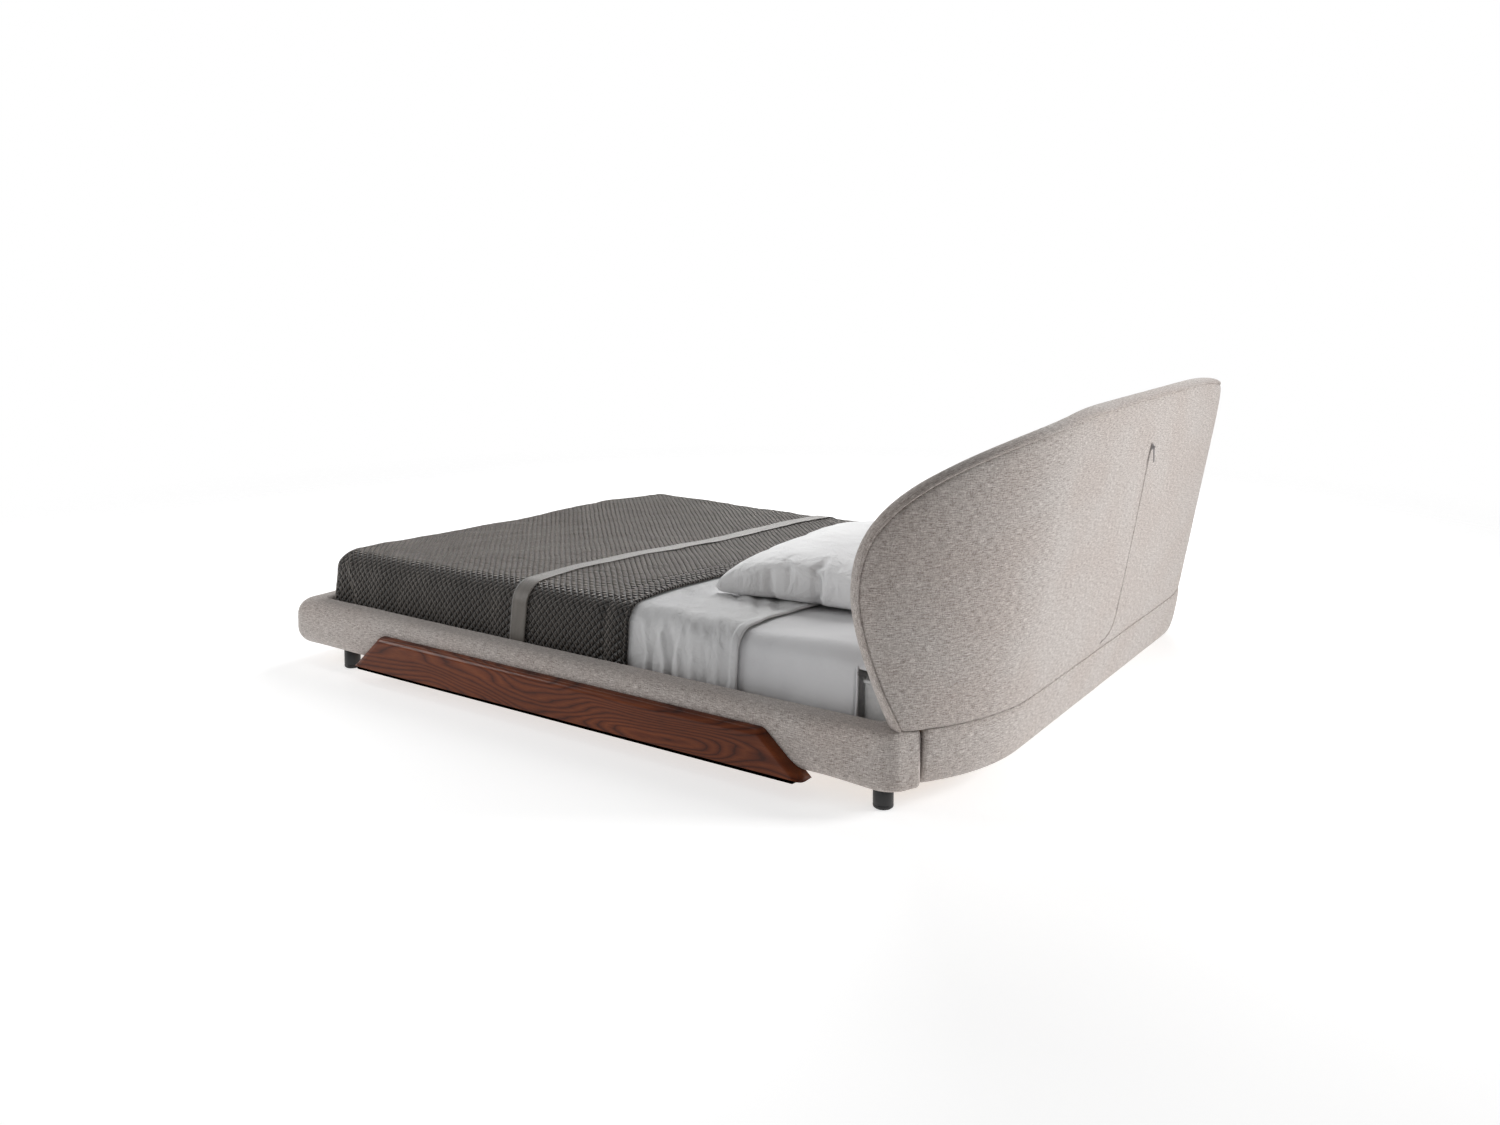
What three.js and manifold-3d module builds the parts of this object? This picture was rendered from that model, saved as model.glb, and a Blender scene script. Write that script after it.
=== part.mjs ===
// Upholstered platform bed with a raked, winged headboard. Millimetres, +Z up, +Y towards the head.
import * as THREE from "three";
import Module from "manifold-3d";

const wasm = await Module();
wasm.setup();

// Frame
const GAP = 0.3;
const RAIL_OUT = 978;
const RAIL_IN = 902;
const RAIL_BOTTOM = 58;
const RAIL_TOP = 194;
const RAIL_ROUND = 31;
const FOOT_OUT = -1130;
const FOOT_IN = -1048;
const FOOT_CORNER = 52;
const CORE_THICK = 28;
const CORE_BOTTOM = 78;
const CORE_TOP = 174;
const LEG_D = 48;
const LEG_X = 917;
const LEG_Y = 918;
const STUD_D = 8;

// Headboard shell: flat middle, arcs at both sides, everything leaning outward with height
const BACK_Y = 1128;
const BACK_FLAT = 575;
const BACK_RADIUS = 540;
const RAKE = 0.187;
const SHELL_TOP = 893;
const WING_LEVEL = 515;
const WING_REACH = 1106;
const TOP_FLAT = 350;
const TOP_POWER = 2.45;
const COVER_D = 12;
const PLY_D = 26;
const BORDER = 25;
const EDGE_GAP = 1.6;
const SHELL_THIN = 68;
const SHELL_THICK = 95;
const BASE_END = 927.5;
const BASE_THIN = 56;
const BASE_THICK = 100;

// Bedding
const MAT_X = 885;
const MAT_Y0 = -1026;
const MAT_Y1 = 962;
const MAT_Z0 = 95;
const MAT_Z1 = 285;
const LIFT = 30;
const MAT_HEAD_CORNER = 100;
const MAT_FOOT_CORNER = 28;
const SLATS = 11;
const SLAT_W = 80;
const SLAT_T = 14;

// Zip on the back of the headboard
const ZIP_X = -9;
const ZIP_TOP = 752;
const SLIDER_Z = 742;

const FABRIC = { color: 0xb7ada5, roughness: 0.95, metalness: 0 };
const PLY = { color: 0xc9a878, roughness: 0.7, metalness: 0 };
const BEECH = { color: 0xd2b48c, roughness: 0.6, metalness: 0 };
const WALNUT = { color: 0x5a2e1b, roughness: 0.35, metalness: 0 };
const BLACK = { color: 0x151515, roughness: 0.35, metalness: 0.2 };
const STEEL = { color: 0x8c8f92, roughness: 0.4, metalness: 0.9 };
const COVER = { color: 0x3a332e, roughness: 0.9, metalness: 0 };
const RIBBON = { color: 0x7d756d, roughness: 0.8, metalness: 0 };
const LINEN = { color: 0xeeeeec, roughness: 0.9, metalness: 0 };
const TICKING = { color: 0xb9bcc0, roughness: 0.95, metalness: 0 };

// ---------------------------------------------------------------- helpers

function solid(points, faces) {
  let volume = 0;
  for (const [a, b, c] of faces) {
    volume += new THREE.Vector3(...points[a]).dot(
      new THREE.Vector3(...points[b]).cross(new THREE.Vector3(...points[c])),
    );
  }
  const index = volume < 0 ? faces.flatMap(([a, b, c]) => [a, c, b]) : faces.flat();
  const geometry = new THREE.BufferGeometry();
  geometry.setAttribute("position", new THREE.Float32BufferAttribute(points.flat(), 3));
  geometry.setIndex(index);
  return geometry;
}

// Skin through closed loops of equal length; the first and last loop are capped.
function loft(loops, flat = ([x, y]) => [x, y]) {
  const n = loops[0].length;
  const faces = [];
  for (let i = 0; i + 1 < loops.length; i++) {
    for (let j = 0; j < n; j++) {
      const k = (j + 1) % n;
      const [a, b, c, d] = [i * n + j, i * n + k, (i + 1) * n + k, (i + 1) * n + j];
      faces.push([a, b, c], [a, c, d]);
    }
  }
  const last = (loops.length - 1) * n;
  // Cap triangles, each wound the same way round as its loop.
  const cap = (loop) => {
    const contour = loop.map((p) => new THREE.Vector2(...flat(p)));
    const way = THREE.ShapeUtils.isClockWise(contour);
    return THREE.ShapeUtils.triangulateShape(contour, []).map(([p, q, r]) => {
      const turned = THREE.ShapeUtils.isClockWise([contour[p], contour[q], contour[r]]);
      return turned === way ? [p, q, r] : [p, r, q];
    });
  };
  faces.push(...cap(loops[0]).map(([p, q, r]) => [p, r, q]));
  faces.push(...cap(loops.at(-1)).map((t) => t.map((v) => v + last)));
  return solid(loops.flat(), faces);
}

// Closed slab between two grids of points of the same size.
function shell(front, back) {
  const rows = front.length;
  const cols = front[0].length;
  const at = (r, c, side) => side * rows * cols + r * cols + c;
  const faces = [];
  const quad = (a, b, c, d) => faces.push([a, b, c], [a, c, d]);
  for (let r = 0; r + 1 < rows; r++) {
    for (let c = 0; c + 1 < cols; c++) {
      quad(at(r, c, 0), at(r, c + 1, 0), at(r + 1, c + 1, 0), at(r + 1, c, 0));
      quad(at(r, c, 1), at(r + 1, c, 1), at(r + 1, c + 1, 1), at(r, c + 1, 1));
    }
    quad(at(r, 0, 0), at(r + 1, 0, 0), at(r + 1, 0, 1), at(r, 0, 1));
    const e = cols - 1;
    quad(at(r, e, 0), at(r, e, 1), at(r + 1, e, 1), at(r + 1, e, 0));
  }
  const t = rows - 1;
  for (let c = 0; c + 1 < cols; c++) {
    quad(at(0, c, 0), at(0, c, 1), at(0, c + 1, 1), at(0, c + 1, 0));
    quad(at(t, c, 0), at(t, c + 1, 0), at(t, c + 1, 1), at(t, c, 1));
  }
  return solid([...front.flat(), ...back.flat()], faces);
}

function manifold(geometry) {
  return new wasm.Manifold(
    new wasm.Mesh({
      numProp: 3,
      vertProperties: new Float32Array(geometry.getAttribute("position").array),
      triVerts: new Uint32Array(geometry.getIndex().array),
    }),
  );
}

function geometryOf(body) {
  const mesh = body.getMesh();
  const points = [];
  for (let i = 0; i < mesh.vertProperties.length; i += mesh.numProp) {
    points.push([...mesh.vertProperties.slice(i, i + 3)]);
  }
  const faces = [];
  for (let i = 0; i < mesh.triVerts.length; i += 3) {
    faces.push([...mesh.triVerts.slice(i, i + 3)]);
  }
  return solid(points, faces);
}

const cut = (a, ...tools) =>
  geometryOf(tools.reduce((body, t) => body.subtract(manifold(t)), manifold(a)));
const join = (a, ...more) =>
  geometryOf(more.reduce((body, t) => body.add(manifold(t)), manifold(a)));
const keep = (a, b) => geometryOf(manifold(a).intersect(manifold(b)));

function prism(outline, z0, z1) {
  return loft([z0, z1].map((z) => outline.map(([x, y]) => [x, y, z])));
}

function block(x0, x1, y0, y1, z0, z1) {
  return prism(
    [
      [x0, y0],
      [x1, y0],
      [x1, y1],
      [x0, y1],
    ],
    z0,
    z1,
  );
}

function rod(x, y, z0, z1, d, sides = 24) {
  const ring = [...Array(sides)].map((_, i) => {
    const a = (2 * Math.PI * i) / sides;
    return [x + (d / 2) * Math.cos(a), y + (d / 2) * Math.sin(a)];
  });
  return prism(ring, z0, z1);
}

const mirrorX = (geometry) => {
  const p = geometry.getAttribute("position");
  const points = [];
  for (let i = 0; i < p.count; i++) points.push([-p.getX(i), p.getY(i), p.getZ(i)]);
  const ids = geometry.getIndex().array;
  const faces = [];
  for (let i = 0; i < ids.length; i += 3) faces.push([ids[i], ids[i + 1], ids[i + 2]]);
  return solid(points, faces);
};

const smooth = (t) => {
  const u = Math.min(1, Math.max(0, t));
  return u * u * (3 - 2 * u);
};

const meshes = [];
function add(name, geometry, look) {
  const mesh = new THREE.Mesh(geometry, new THREE.MeshStandardMaterial(look));
  mesh.name = name;
  meshes.push(mesh);
}

// ---------------------------------------------------------------- rail upholstery (one U-shaped sleeve)

const arcPoints = (cx, cy, r, a0, a1, n) =>
  [...Array(n + 1)].map((_, i) => {
    const a = THREE.MathUtils.degToRad(a0 + ((a1 - a0) * i) / n);
    return [cx + r * Math.cos(a), cy + r * Math.sin(a)];
  });

const seamPoint = (radius, degrees) => {
  const a = THREE.MathUtils.degToRad(degrees);
  return [BACK_FLAT + radius * Math.sin(a), BACK_Y - BACK_RADIUS + radius * Math.cos(a)];
};

const RAIL_END_R = 65;
const endArc = arcPoints(RAIL_OUT - RAIL_END_R, 930, RAIL_END_R, 0, 58, 6);
const rightSide = [
  ...arcPoints(RAIL_OUT - FOOT_CORNER, FOOT_OUT + FOOT_CORNER, FOOT_CORNER, -90, 0, 8),
  [RAIL_OUT, -400],
  [RAIL_OUT, 250],
  [RAIL_OUT, 780],
  ...endArc,
  [908, 1010],
  [900, 1009],
];
const outerPath = [...rightSide.map(([x, y]) => [-x, y]).reverse(), ...rightSide];
const innerRight = [seamPoint(466, 37.6), [RAIL_IN, 922], [RAIL_IN, FOOT_IN]];
const innerPath = [...innerRight, ...innerRight.map(([x, y]) => [-x, y]).reverse()];

function railLoop(z) {
  const h = Math.min(z - RAIL_BOTTOM, RAIL_TOP - z, RAIL_ROUND);
  const n = outerPath.length;
  const ring = outerPath.map(([x, y], i) => {
    const [px, py] = outerPath[Math.max(0, i - 1)];
    const [qx, qy] = outerPath[Math.min(n - 1, i + 1)];
    const len = Math.hypot(qx - px, qy - py);
    const weight = 1 - 0.62 * smooth((y - 780) / 170);
    const r = RAIL_ROUND * weight;
    const k = Math.min(h, r);
    const inset = r - Math.sqrt(Math.max(0, r * r - (r - k) * (r - k)));
    return [x - ((qy - py) / len) * inset, y + ((qx - px) / len) * inset, z];
  });
  return [...ring, ...innerPath.map(([x, y]) => [x, y, z])];
}

const railLevels = [0, 1.2, 4.5, 9.5, 16, 23, 31].map((h) => RAIL_BOTTOM + h);
const railHeights = [...railLevels, ...railLevels.map((z) => RAIL_BOTTOM + RAIL_TOP - z).reverse()];
const railBody = loft(railHeights.map(railLoop));

const coreSlots = [
  block(RAIL_IN - 5, RAIL_IN + CORE_THICK + GAP, -1090, 936 + GAP, CORE_BOTTOM, CORE_TOP),
  block(-RAIL_IN - CORE_THICK - GAP, -RAIL_IN + 5, -1090, 936 + GAP, CORE_BOTTOM, CORE_TOP),
  block(-RAIL_IN - 1, RAIL_IN + 1, FOOT_IN - CORE_THICK - GAP, FOOT_IN + 5, CORE_BOTTOM, CORE_TOP),
];
const legSpots = [
  ["front_left", -LEG_X, -LEG_Y],
  ["front_right", LEG_X, -LEG_Y],
  ["head_left", -LEG_X, LEG_Y],
  ["head_right", LEG_X, LEG_Y],
];
const studHoles = legSpots.map(([, x, y]) => rod(x, y, 50, CORE_BOTTOM + 1, STUD_D + 1));
add("rail_upholstery", cut(railBody, ...coreSlots, ...studHoles), FABRIC);

// ---------------------------------------------------------------- timber inside the rails

const slatTop = MAT_Z0 - GAP;
const coreHole = (x, y) => rod(x, y, CORE_BOTTOM - 5, CORE_BOTTOM + 34, STUD_D + 0.6);
for (const [side, sign] of [
  ["left", -1],
  ["right", 1],
]) {
  const x0 = RAIL_IN + GAP / 2;
  const board = block(x0, x0 + CORE_THICK - GAP, FOOT_IN - CORE_THICK, 936, CORE_BOTTOM + GAP, CORE_TOP - GAP);
  const drilled = cut(board, coreHole(LEG_X, -LEG_Y), coreHole(LEG_X, LEG_Y));
  add(`side_rail_core_${side}`, sign > 0 ? drilled : mirrorX(drilled), PLY);
  const ledge = block(876, RAIL_IN - GAP, -970, 780, 62, slatTop - SLAT_T - GAP);
  add(`slat_ledge_${side}`, sign > 0 ? ledge : mirrorX(ledge), BEECH);
  const blockFoot = prism(
    [
      [RAIL_IN - GAP, FOOT_IN + GAP],
      [RAIL_IN - GAP, FOOT_IN + 62],
      [RAIL_IN - 62, FOOT_IN + GAP],
    ],
    62,
    MAT_Z0 - 3,
  );
  add(`corner_block_foot_${side}`, sign > 0 ? blockFoot : mirrorX(blockFoot), BEECH);
  const blockHead = prism(
    [
      [RAIL_IN - GAP, 800],
      [RAIL_IN - GAP, 905],
      [820, 945],
      [700, 977],
      [560, 977],
      [560, 915],
      [760, 870],
    ],
    62,
    MAT_Z0 - 3,
  );
  add(`corner_block_head_${side}`, sign > 0 ? blockHead : mirrorX(blockHead), PLY);
}
add(
  "foot_rail_core",
  block(
    -RAIL_IN - GAP / 2 + 0.6,
    RAIL_IN + GAP / 2 - 0.6,
    FOOT_IN - CORE_THICK,
    FOOT_IN - GAP / 2,
    CORE_BOTTOM + GAP,
    CORE_TOP - GAP,
  ),
  PLY,
);

for (const [spot, x, y] of legSpots) {
  const post = rod(x, y, 0, RAIL_BOTTOM - GAP, LEG_D, 40);
  add(`leg_${spot}`, cut(post, rod(x, y, 30, 70, STUD_D + 0.6)), BLACK);
  add(`leg_stud_${spot}`, rod(x, y, 30.4, CORE_BOTTOM + 33, STUD_D), STEEL);
}

// ---------------------------------------------------------------- slats, beam

const firstSlat = -970;
const pitch = (780 - firstSlat - SLAT_W) / (SLATS - 1);
for (let i = 0; i < SLATS; i++) {
  const y = firstSlat + i * pitch;
  const reach = RAIL_IN - 1;
  const name = `slat_${String(i + 1).padStart(2, "0")}`;
  add(name, block(-reach, reach, y, y + SLAT_W, slatTop - SLAT_T, slatTop), BEECH);
}
add("centre_beam", block(-35, 35, FOOT_IN + GAP, 977, 44, slatTop - SLAT_T - GAP), BEECH);
for (const [name, y] of [
  ["foot", -420],
  ["head", 420],
]) {
  add(`centre_leg_${name}`, rod(0, y, 0, 44 - GAP, 40), BLACK);
}

// ---------------------------------------------------------------- walnut trims on the side rails

const TRIM_OUT = 1002;
const TRIM_ROUND = 18;
const trimOutline = [
  ...arcPoints(-804, 43.6 + 9, 9, 270, 200, 3),
  ...arcPoints(-692, 146 - 26, 26, 138, 90, 5),
  ...arcPoints(622, 146 - 26, 26, 90, 40, 5),
  ...arcPoints(742, 43.6 + 9, 9, -20, -90, 3),
];

// The outer edge is rounded along the top and both sloping ends and nearly square below.
function trimLoop(x, inset) {
  const n = trimOutline.length;
  return trimOutline.map(([y, z], i) => {
    if (z < 60) return [x, y - Math.sign(y) * inset * 0.8, z];
    const [py, pz] = trimOutline[(i + n - 1) % n];
    const [qy, qz] = trimOutline[(i + 1) % n];
    const len = Math.hypot(qy - py, qz - pz);
    return [x, y + ((qz - pz) / len) * inset, z - ((qy - py) / len) * inset];
  });
}

const trimDepth = [0, 15, 35, 55, 75, 90].map((degrees) => {
  const a = THREE.MathUtils.degToRad(degrees);
  return [TRIM_OUT - TRIM_ROUND + TRIM_ROUND * Math.sin(a), TRIM_ROUND * (1 - Math.cos(a))];
});
const trimBlank = loft(
  [trimLoop(955, 0), ...trimDepth.map(([x, inset]) => trimLoop(x, inset))],
  ([, y, z]) => [y, z],
);
const railForm = loft(
  [-900, 900].map((y) =>
    [
      [RAIL_OUT - 80, RAIL_BOTTOM - GAP],
      ...arcPoints(RAIL_OUT - RAIL_ROUND, RAIL_BOTTOM + RAIL_ROUND, RAIL_ROUND + GAP + 0.25, -90, 0, 12),
      [RAIL_OUT + GAP, 200],
      [RAIL_OUT - 80, 200],
    ].map(([x, z]) => [x, y, z]),
  ),
  ([x, , z]) => [x, z],
);
const trim = cut(trimBlank, railForm);
add("wood_trim_right", trim, WALNUT);
add("wood_trim_left", mirrorX(trim), WALNUT);

// ---------------------------------------------------------------- headboard surfaces

// Point on the back surface: s along the plan curve from the centre, z height, d outward offset.
function onBack(s, z, d) {
  const turn = Math.max(0, (Math.abs(s) - BACK_FLAT) / BACK_RADIUS);
  const reach = BACK_RADIUS + RAKE * (z - RAIL_TOP) + d;
  const x = Math.min(Math.abs(s), BACK_FLAT) + reach * Math.sin(turn);
  return [Math.sign(s) * x, BACK_Y - BACK_RADIUS + reach * Math.cos(turn), z];
}

const SHELL_BOTTOM = RAIL_TOP + GAP;
const wing = [];
for (let i = 0; i < 8; i++) {
  const z = SHELL_BOTTOM + ((WING_LEVEL - SHELL_BOTTOM) * i) / 8;
  wing.push([WING_REACH - 0.00979 * (WING_LEVEL - z) ** 1.605, z]);
}
for (let i = 0; i <= 12; i++) {
  const a = (Math.PI / 2) * (i / 12);
  const c = Math.max(0, Math.cos(a)) ** (2 / TOP_POWER);
  const h = Math.sin(a) ** (2 / TOP_POWER);
  wing.push([
    TOP_FLAT + (WING_REACH - TOP_FLAT) * c,
    WING_LEVEL + (SHELL_TOP - WING_LEVEL) * h,
  ]);
}
const inward = wing.map(([s, z], i) => {
  if (i === 0) return [-1, 0];
  if (i === wing.length - 1) return [0, -1];
  const [ps, pz] = wing[i - 1];
  const [qs, qz] = wing[i + 1];
  const len = Math.hypot(qs - ps, qz - pz);
  return [-(qz - pz) / len, (qs - ps) / len];
});
const wingInset = (e) => wing.map(([s, z], i) => [s + inward[i][0] * e, z + inward[i][1] * e]);
const shellDepth = (s) =>
  SHELL_THICK - (SHELL_THICK - SHELL_THIN) * smooth((Math.abs(s) - 420) / 400);
const COLS = 26;

function shellPiece(inset, outer, inner) {
  const rows = wingInset(inset);
  const grid = (depth) =>
    rows.map(([reach, z]) =>
      [...Array(COLS + 1)].map((_, j) => {
        const s = reach * ((2 * j) / COLS - 1);
        return onBack(s, z, depth(s));
      }),
    );
  return shell(grid(outer), grid(inner));
}

// Strip of half width w along a path of (s, z) points, between two offsets.
function strip(path, w, d0, d1) {
  const sides = path.map(([s, z], i) => {
    const [ps, pz] = path[Math.max(0, i - 1)];
    const [qs, qz] = path[Math.min(path.length - 1, i + 1)];
    const len = Math.hypot(qs - ps, qz - pz);
    return [((qz - pz) / len) * w, (-(qs - ps) / len) * w];
  });
  return loft(
    path.map(([s, z], i) => [
      onBack(s - sides[i][0], z - sides[i][1], d0),
      onBack(s + sides[i][0], z + sides[i][1], d0),
      onBack(s + sides[i][0], z + sides[i][1], d1),
      onBack(s - sides[i][0], z - sides[i][1], d1),
    ]),
    ([x, y, z]) => [x - z, y],
  );
}

const zipPath = [
  [ZIP_X, ZIP_TOP],
  [ZIP_X, 320],
  [ZIP_X + 3, 266],
  [ZIP_X + 12, 240],
  [ZIP_X + 30, 223],
  [ZIP_X + 56, 215],
  [ZIP_X + 92, 212],
];
const zipSlot = [[ZIP_X, ZIP_TOP + GAP], ...zipPath.slice(1, -1), [ZIP_X + 93, 212]];
const backCover = shellPiece(BORDER + EDGE_GAP, () => 0, () => -COVER_D);
add("headboard_back_cover", cut(backCover, strip(zipSlot, 3.3, -2.4, 9)), FABRIC);
add("headboard_core", shellPiece(BORDER + EDGE_GAP, () => -COVER_D - GAP, () => -PLY_D), PLY);

const rakeAngle = Math.atan(RAKE);
function plate(x, w, z0, z1, d0, d1) {
  const corner = (z, d) => onBack(x, z, d).slice(1);
  return loft(
    [x - w / 2, x + w / 2].map((px) =>
      [corner(z0, d0), corner(z1, d0), corner(z1, d1), corner(z0, d1)].map(([y, z]) => [px, y, z]),
    ),
    ([, y, z]) => [y, z],
  );
}
const plates = [-400, 400];
const pad = shellPiece(BORDER + EDGE_GAP, () => -PLY_D - GAP, (s) => -shellDepth(s));
add(
  "headboard_front_pad",
  cut(pad, ...plates.map((x) => plate(x, 92, 190, 341, -PLY_D - 5, -PLY_D + 2))),
  FABRIC,
);

// Section of the border, from the back edge over the rounded rim to the front edge.
const section = (depth) => {
  const rim = [
    [BORDER, 0],
    [16, -0.6],
    [9, -5],
    [4, -14],
    [1, -25],
  ];
  return [...rim, ...rim.map(([e, d]) => [e, -depth - d]).reverse()];
};
const borderPath = [];
const half = wing.map(([s, z], i) => [s, z, inward[i]]);
borderPath.push(...half);
for (const s of [200, 0, -200]) borderPath.push([s, SHELL_TOP, [0, -1]]);
borderPath.push(...half.map(([s, z, [a, b]]) => [-s, z, [-a, b]]).reverse());
add(
  "headboard_border",
  loft(
    borderPath.map(([s, z, [a, b]]) =>
      section(shellDepth(s)).map(([e, d]) => onBack(s + a * e, z + b * e, d)),
    ),
  ),
  FABRIC,
);

// ---------------------------------------------------------------- headboard base band

const baseDepth = (s) =>
  BASE_THICK - (BASE_THICK - BASE_THIN) * smooth((Math.abs(s) - 380) / 420);
function baseLayer(profile, inner) {
  const columns = [...Array(COLS + 1)].map((_, j) => BASE_END * ((2 * j) / COLS - 1));
  const outerGrid = profile.map(([z, d]) => columns.map((s) => onBack(s, z, d(s))));
  const innerGrid = profile.map(([z]) => columns.map((s) => onBack(s, z, inner(s))));
  return shell(outerGrid, innerGrid);
}
const skin = (d) => () => d;
add(
  "headboard_base_cover",
  baseLayer(
    [
      [RAIL_BOTTOM, skin(-15)],
      [60.5, skin(-8.5)],
      [65, skin(-3)],
      [74, skin(1.5)],
      [95, skin(4)],
      [165, skin(4)],
      [183, skin(2.5)],
      [191, skin(-1)],
      [RAIL_TOP - GAP, skin(-7)],
    ],
    () => -PLY_D,
  ),
  FABRIC,
);
const bolts = [
  ["left_outer", -520],
  ["left_inner", -180],
  ["right_inner", 180],
  ["right_outer", 520],
];
function crossRod(x, z, y0, y1, d) {
  const ring = (y) =>
    [...Array(20)].map((_, i) => {
      const a = (2 * Math.PI * i) / 20;
      return [x + (d / 2) * Math.cos(a), y, z + (d / 2) * Math.sin(a)];
    });
  return loft([ring(y0), ring(y1)], ([x_, , z_]) => [x_, z_]);
}
const baseCore = baseLayer(
  [
    [RAIL_BOTTOM + 1, () => -PLY_D - GAP],
    [RAIL_TOP - GAP, () => -PLY_D - GAP],
  ],
  (s) => -baseDepth(s),
);
add(
  "headboard_base_core",
  cut(
    baseCore,
    ...plates.map((x) => plate(x, 92, 99, 200, -PLY_D - 5, -PLY_D + 2)),
    ...bolts.map(([, x]) => crossRod(x, 140, 980, 1045, 8.6)),
  ),
  PLY,
);
for (const [side, x] of [
  ["left", -400],
  ["right", 400],
]) {
  add(`headboard_plate_${side}`, plate(x, 91, 99.5, 340, -PLY_D - 4.6, -PLY_D - GAP), STEEL);
}
const crossRail = block(-640, 640, 978, 998, 62, RAIL_TOP - 1);
add("head_cross_rail", cut(crossRail, ...bolts.map(([, x]) => crossRod(x, 140, 970, 1010, 8.6))), PLY);
for (const [name, x] of bolts) {
  const head = crossRod(x, 140, 971, 978 - GAP, 14);
  add(`headboard_bolt_${name}`, join(crossRod(x, 140, 975, 1044, 8), head), STEEL);
}

// ---------------------------------------------------------------- zip

add("zip_teeth", strip(zipPath, 3, -2, 0.7), { color: 0x4b4640, roughness: 0.6, metalness: 0.2 });

const lean = new THREE.Matrix4().makeRotationX(-rakeAngle);
const seat = onBack(ZIP_X, SLIDER_Z, 0);
function onZip(geometry) {
  const g = geometry.clone();
  g.applyMatrix4(lean);
  g.translate(...seat);
  return g;
}
const sliderBody = block(-5, 5, 1.1, 4.6, -7, 7);
const lugBlock = block(-1.5, 1.5, 4, 10, -4, 4);
const pinAlongX = (d, w) =>
  loft(
    [-w, w].map((x) =>
      [...Array(16)].map((_, i) => {
        const a = (2 * Math.PI * i) / 16;
        return [x, 7.3 + (d / 2) * Math.cos(a), (d / 2) * Math.sin(a)];
      }),
    ),
    ([, y, z]) => [y, z],
  );
add("zip_slider", onZip(cut(join(sliderBody, lugBlock), pinAlongX(2.4, 4))), STEEL);

const pinAt = new THREE.Vector3(0, 7.3, 0).applyMatrix4(lean).add(new THREE.Vector3(...seat));
const pullPin = pinAlongX(1.8, 3.2);
const armLeft = block(-3.4, -2.0, 6.3, 8.3, -9, 1.2);
const armRight = block(2.0, 3.4, 6.3, 8.3, -9, 1.2);
const tab = block(-3.4, 3.4, 6.5, 8.1, -40, -8.5);
const pull = join(armLeft, pullPin, armRight, tab);
pull.translate(pinAt.x, pinAt.y - 7.3, pinAt.z);
add("zip_pull", pull, STEEL);

// ---------------------------------------------------------------- mattress and bedding

// Level loop around the mattress outline grown by `grow`; `lift` raises it towards the right side.
function padLoop(z, grow, inset, lift = 0) {
  const head = MAT_HEAD_CORNER + grow - inset;
  const foot = MAT_FOOT_CORNER + grow - inset;
  const x = MAT_X + grow - inset;
  const y0 = MAT_Y0 - grow + inset;
  const y1 = MAT_Y1 + grow - inset;
  return [
    ...arcPoints(x - head, y1 - head, head, 0, 90, 6),
    ...arcPoints(-x + head, y1 - head, head, 90, 180, 6),
    ...arcPoints(-x + foot, y0 + foot, foot, 180, 270, 4),
    ...arcPoints(x - foot, y0 + foot, foot, 270, 360, 4),
  ].map(([px, py]) => [px, py, z + (lift * (px + MAT_X)) / (2 * MAT_X)]);
}

function padBody(grow, bottom, lift = 0) {
  const top = MAT_Z1 + grow;
  return loft([
    padLoop(bottom, grow, 0),
    padLoop(top - 24, grow, 0, lift),
    padLoop(top - 12, grow, 3.5, lift),
    padLoop(top - 4, grow, 10, lift),
    padLoop(top, grow, 22, lift),
  ]);
}

const mattress = loft([
  padLoop(MAT_Z0, 0, 16),
  padLoop(MAT_Z0 + 16, 0, 0),
  padLoop(MAT_Z1 - 24, 0, 0),
  padLoop(MAT_Z1 - 12, 0, 3.5),
  padLoop(MAT_Z1 - 4, 0, 10),
  padLoop(MAT_Z1, 0, 22),
]);
add("mattress", mattress, TICKING);
add("fitted_sheet", cut(padBody(2.8, 140), padBody(GAP, 130)), LINEN);
add(
  "top_sheet",
  keep(cut(padBody(5.6, 150), padBody(3.1, 120)), block(-990, 990, -900, 498, 100, 400)),
  LINEN,
);
add(
  "coverlet",
  keep(cut(padBody(14.5, 140, LIFT), padBody(5.9, 120)), block(-990, 990, -1100, 147, 100, 400)),
  COVER,
);
add(
  "coverlet_band",
  keep(cut(padBody(16, 196, LIFT), padBody(14.8, 150, LIFT)), block(-990, 990, -265, -209, 190, 400)),
  RIBBON,
);

// Pillow: flattened cushion with pinched rim, sitting on its lower face.
function pillow(cx, cy, turn, lx, ly, h, z0) {
  const loops = [];
  const levels = [0, 0.1, 0.24, 0.42, 0.6, 0.76, 0.9, 1];
  for (const t of levels) {
    const swell = Math.sqrt(Math.max(0, 1 - ((t - 0.38) / 0.64) ** 2));
    const fx = (lx / 2) * (0.66 + 0.34 * swell);
    const fy = (ly / 2) * (0.52 + 0.48 * swell);
    loops.push(
      [...Array(32)].map((_, i) => {
        const a = (2 * Math.PI * i) / 32;
        const c = Math.cos(a);
        const s = Math.sin(a);
        const x = Math.sign(c) * Math.abs(c) ** 0.55 * fx;
        const y = Math.sign(s) * Math.abs(s) ** 0.55 * fy;
        return [
          cx + x * Math.cos(turn) - y * Math.sin(turn),
          cy + x * Math.sin(turn) + y * Math.cos(turn),
          z0 + t * h,
        ];
      }),
    );
  }
  return loft(loops);
}
add("pillow_right", pillow(258, 478, 0.05, 720, 500, 152, MAT_Z1 + 6), LINEN);
add("pillow_left", pillow(-505, 620, -0.04, 700, 480, 148, MAT_Z1 + 6), LINEN);

// ---------------------------------------------------------------- centre on the origin

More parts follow.
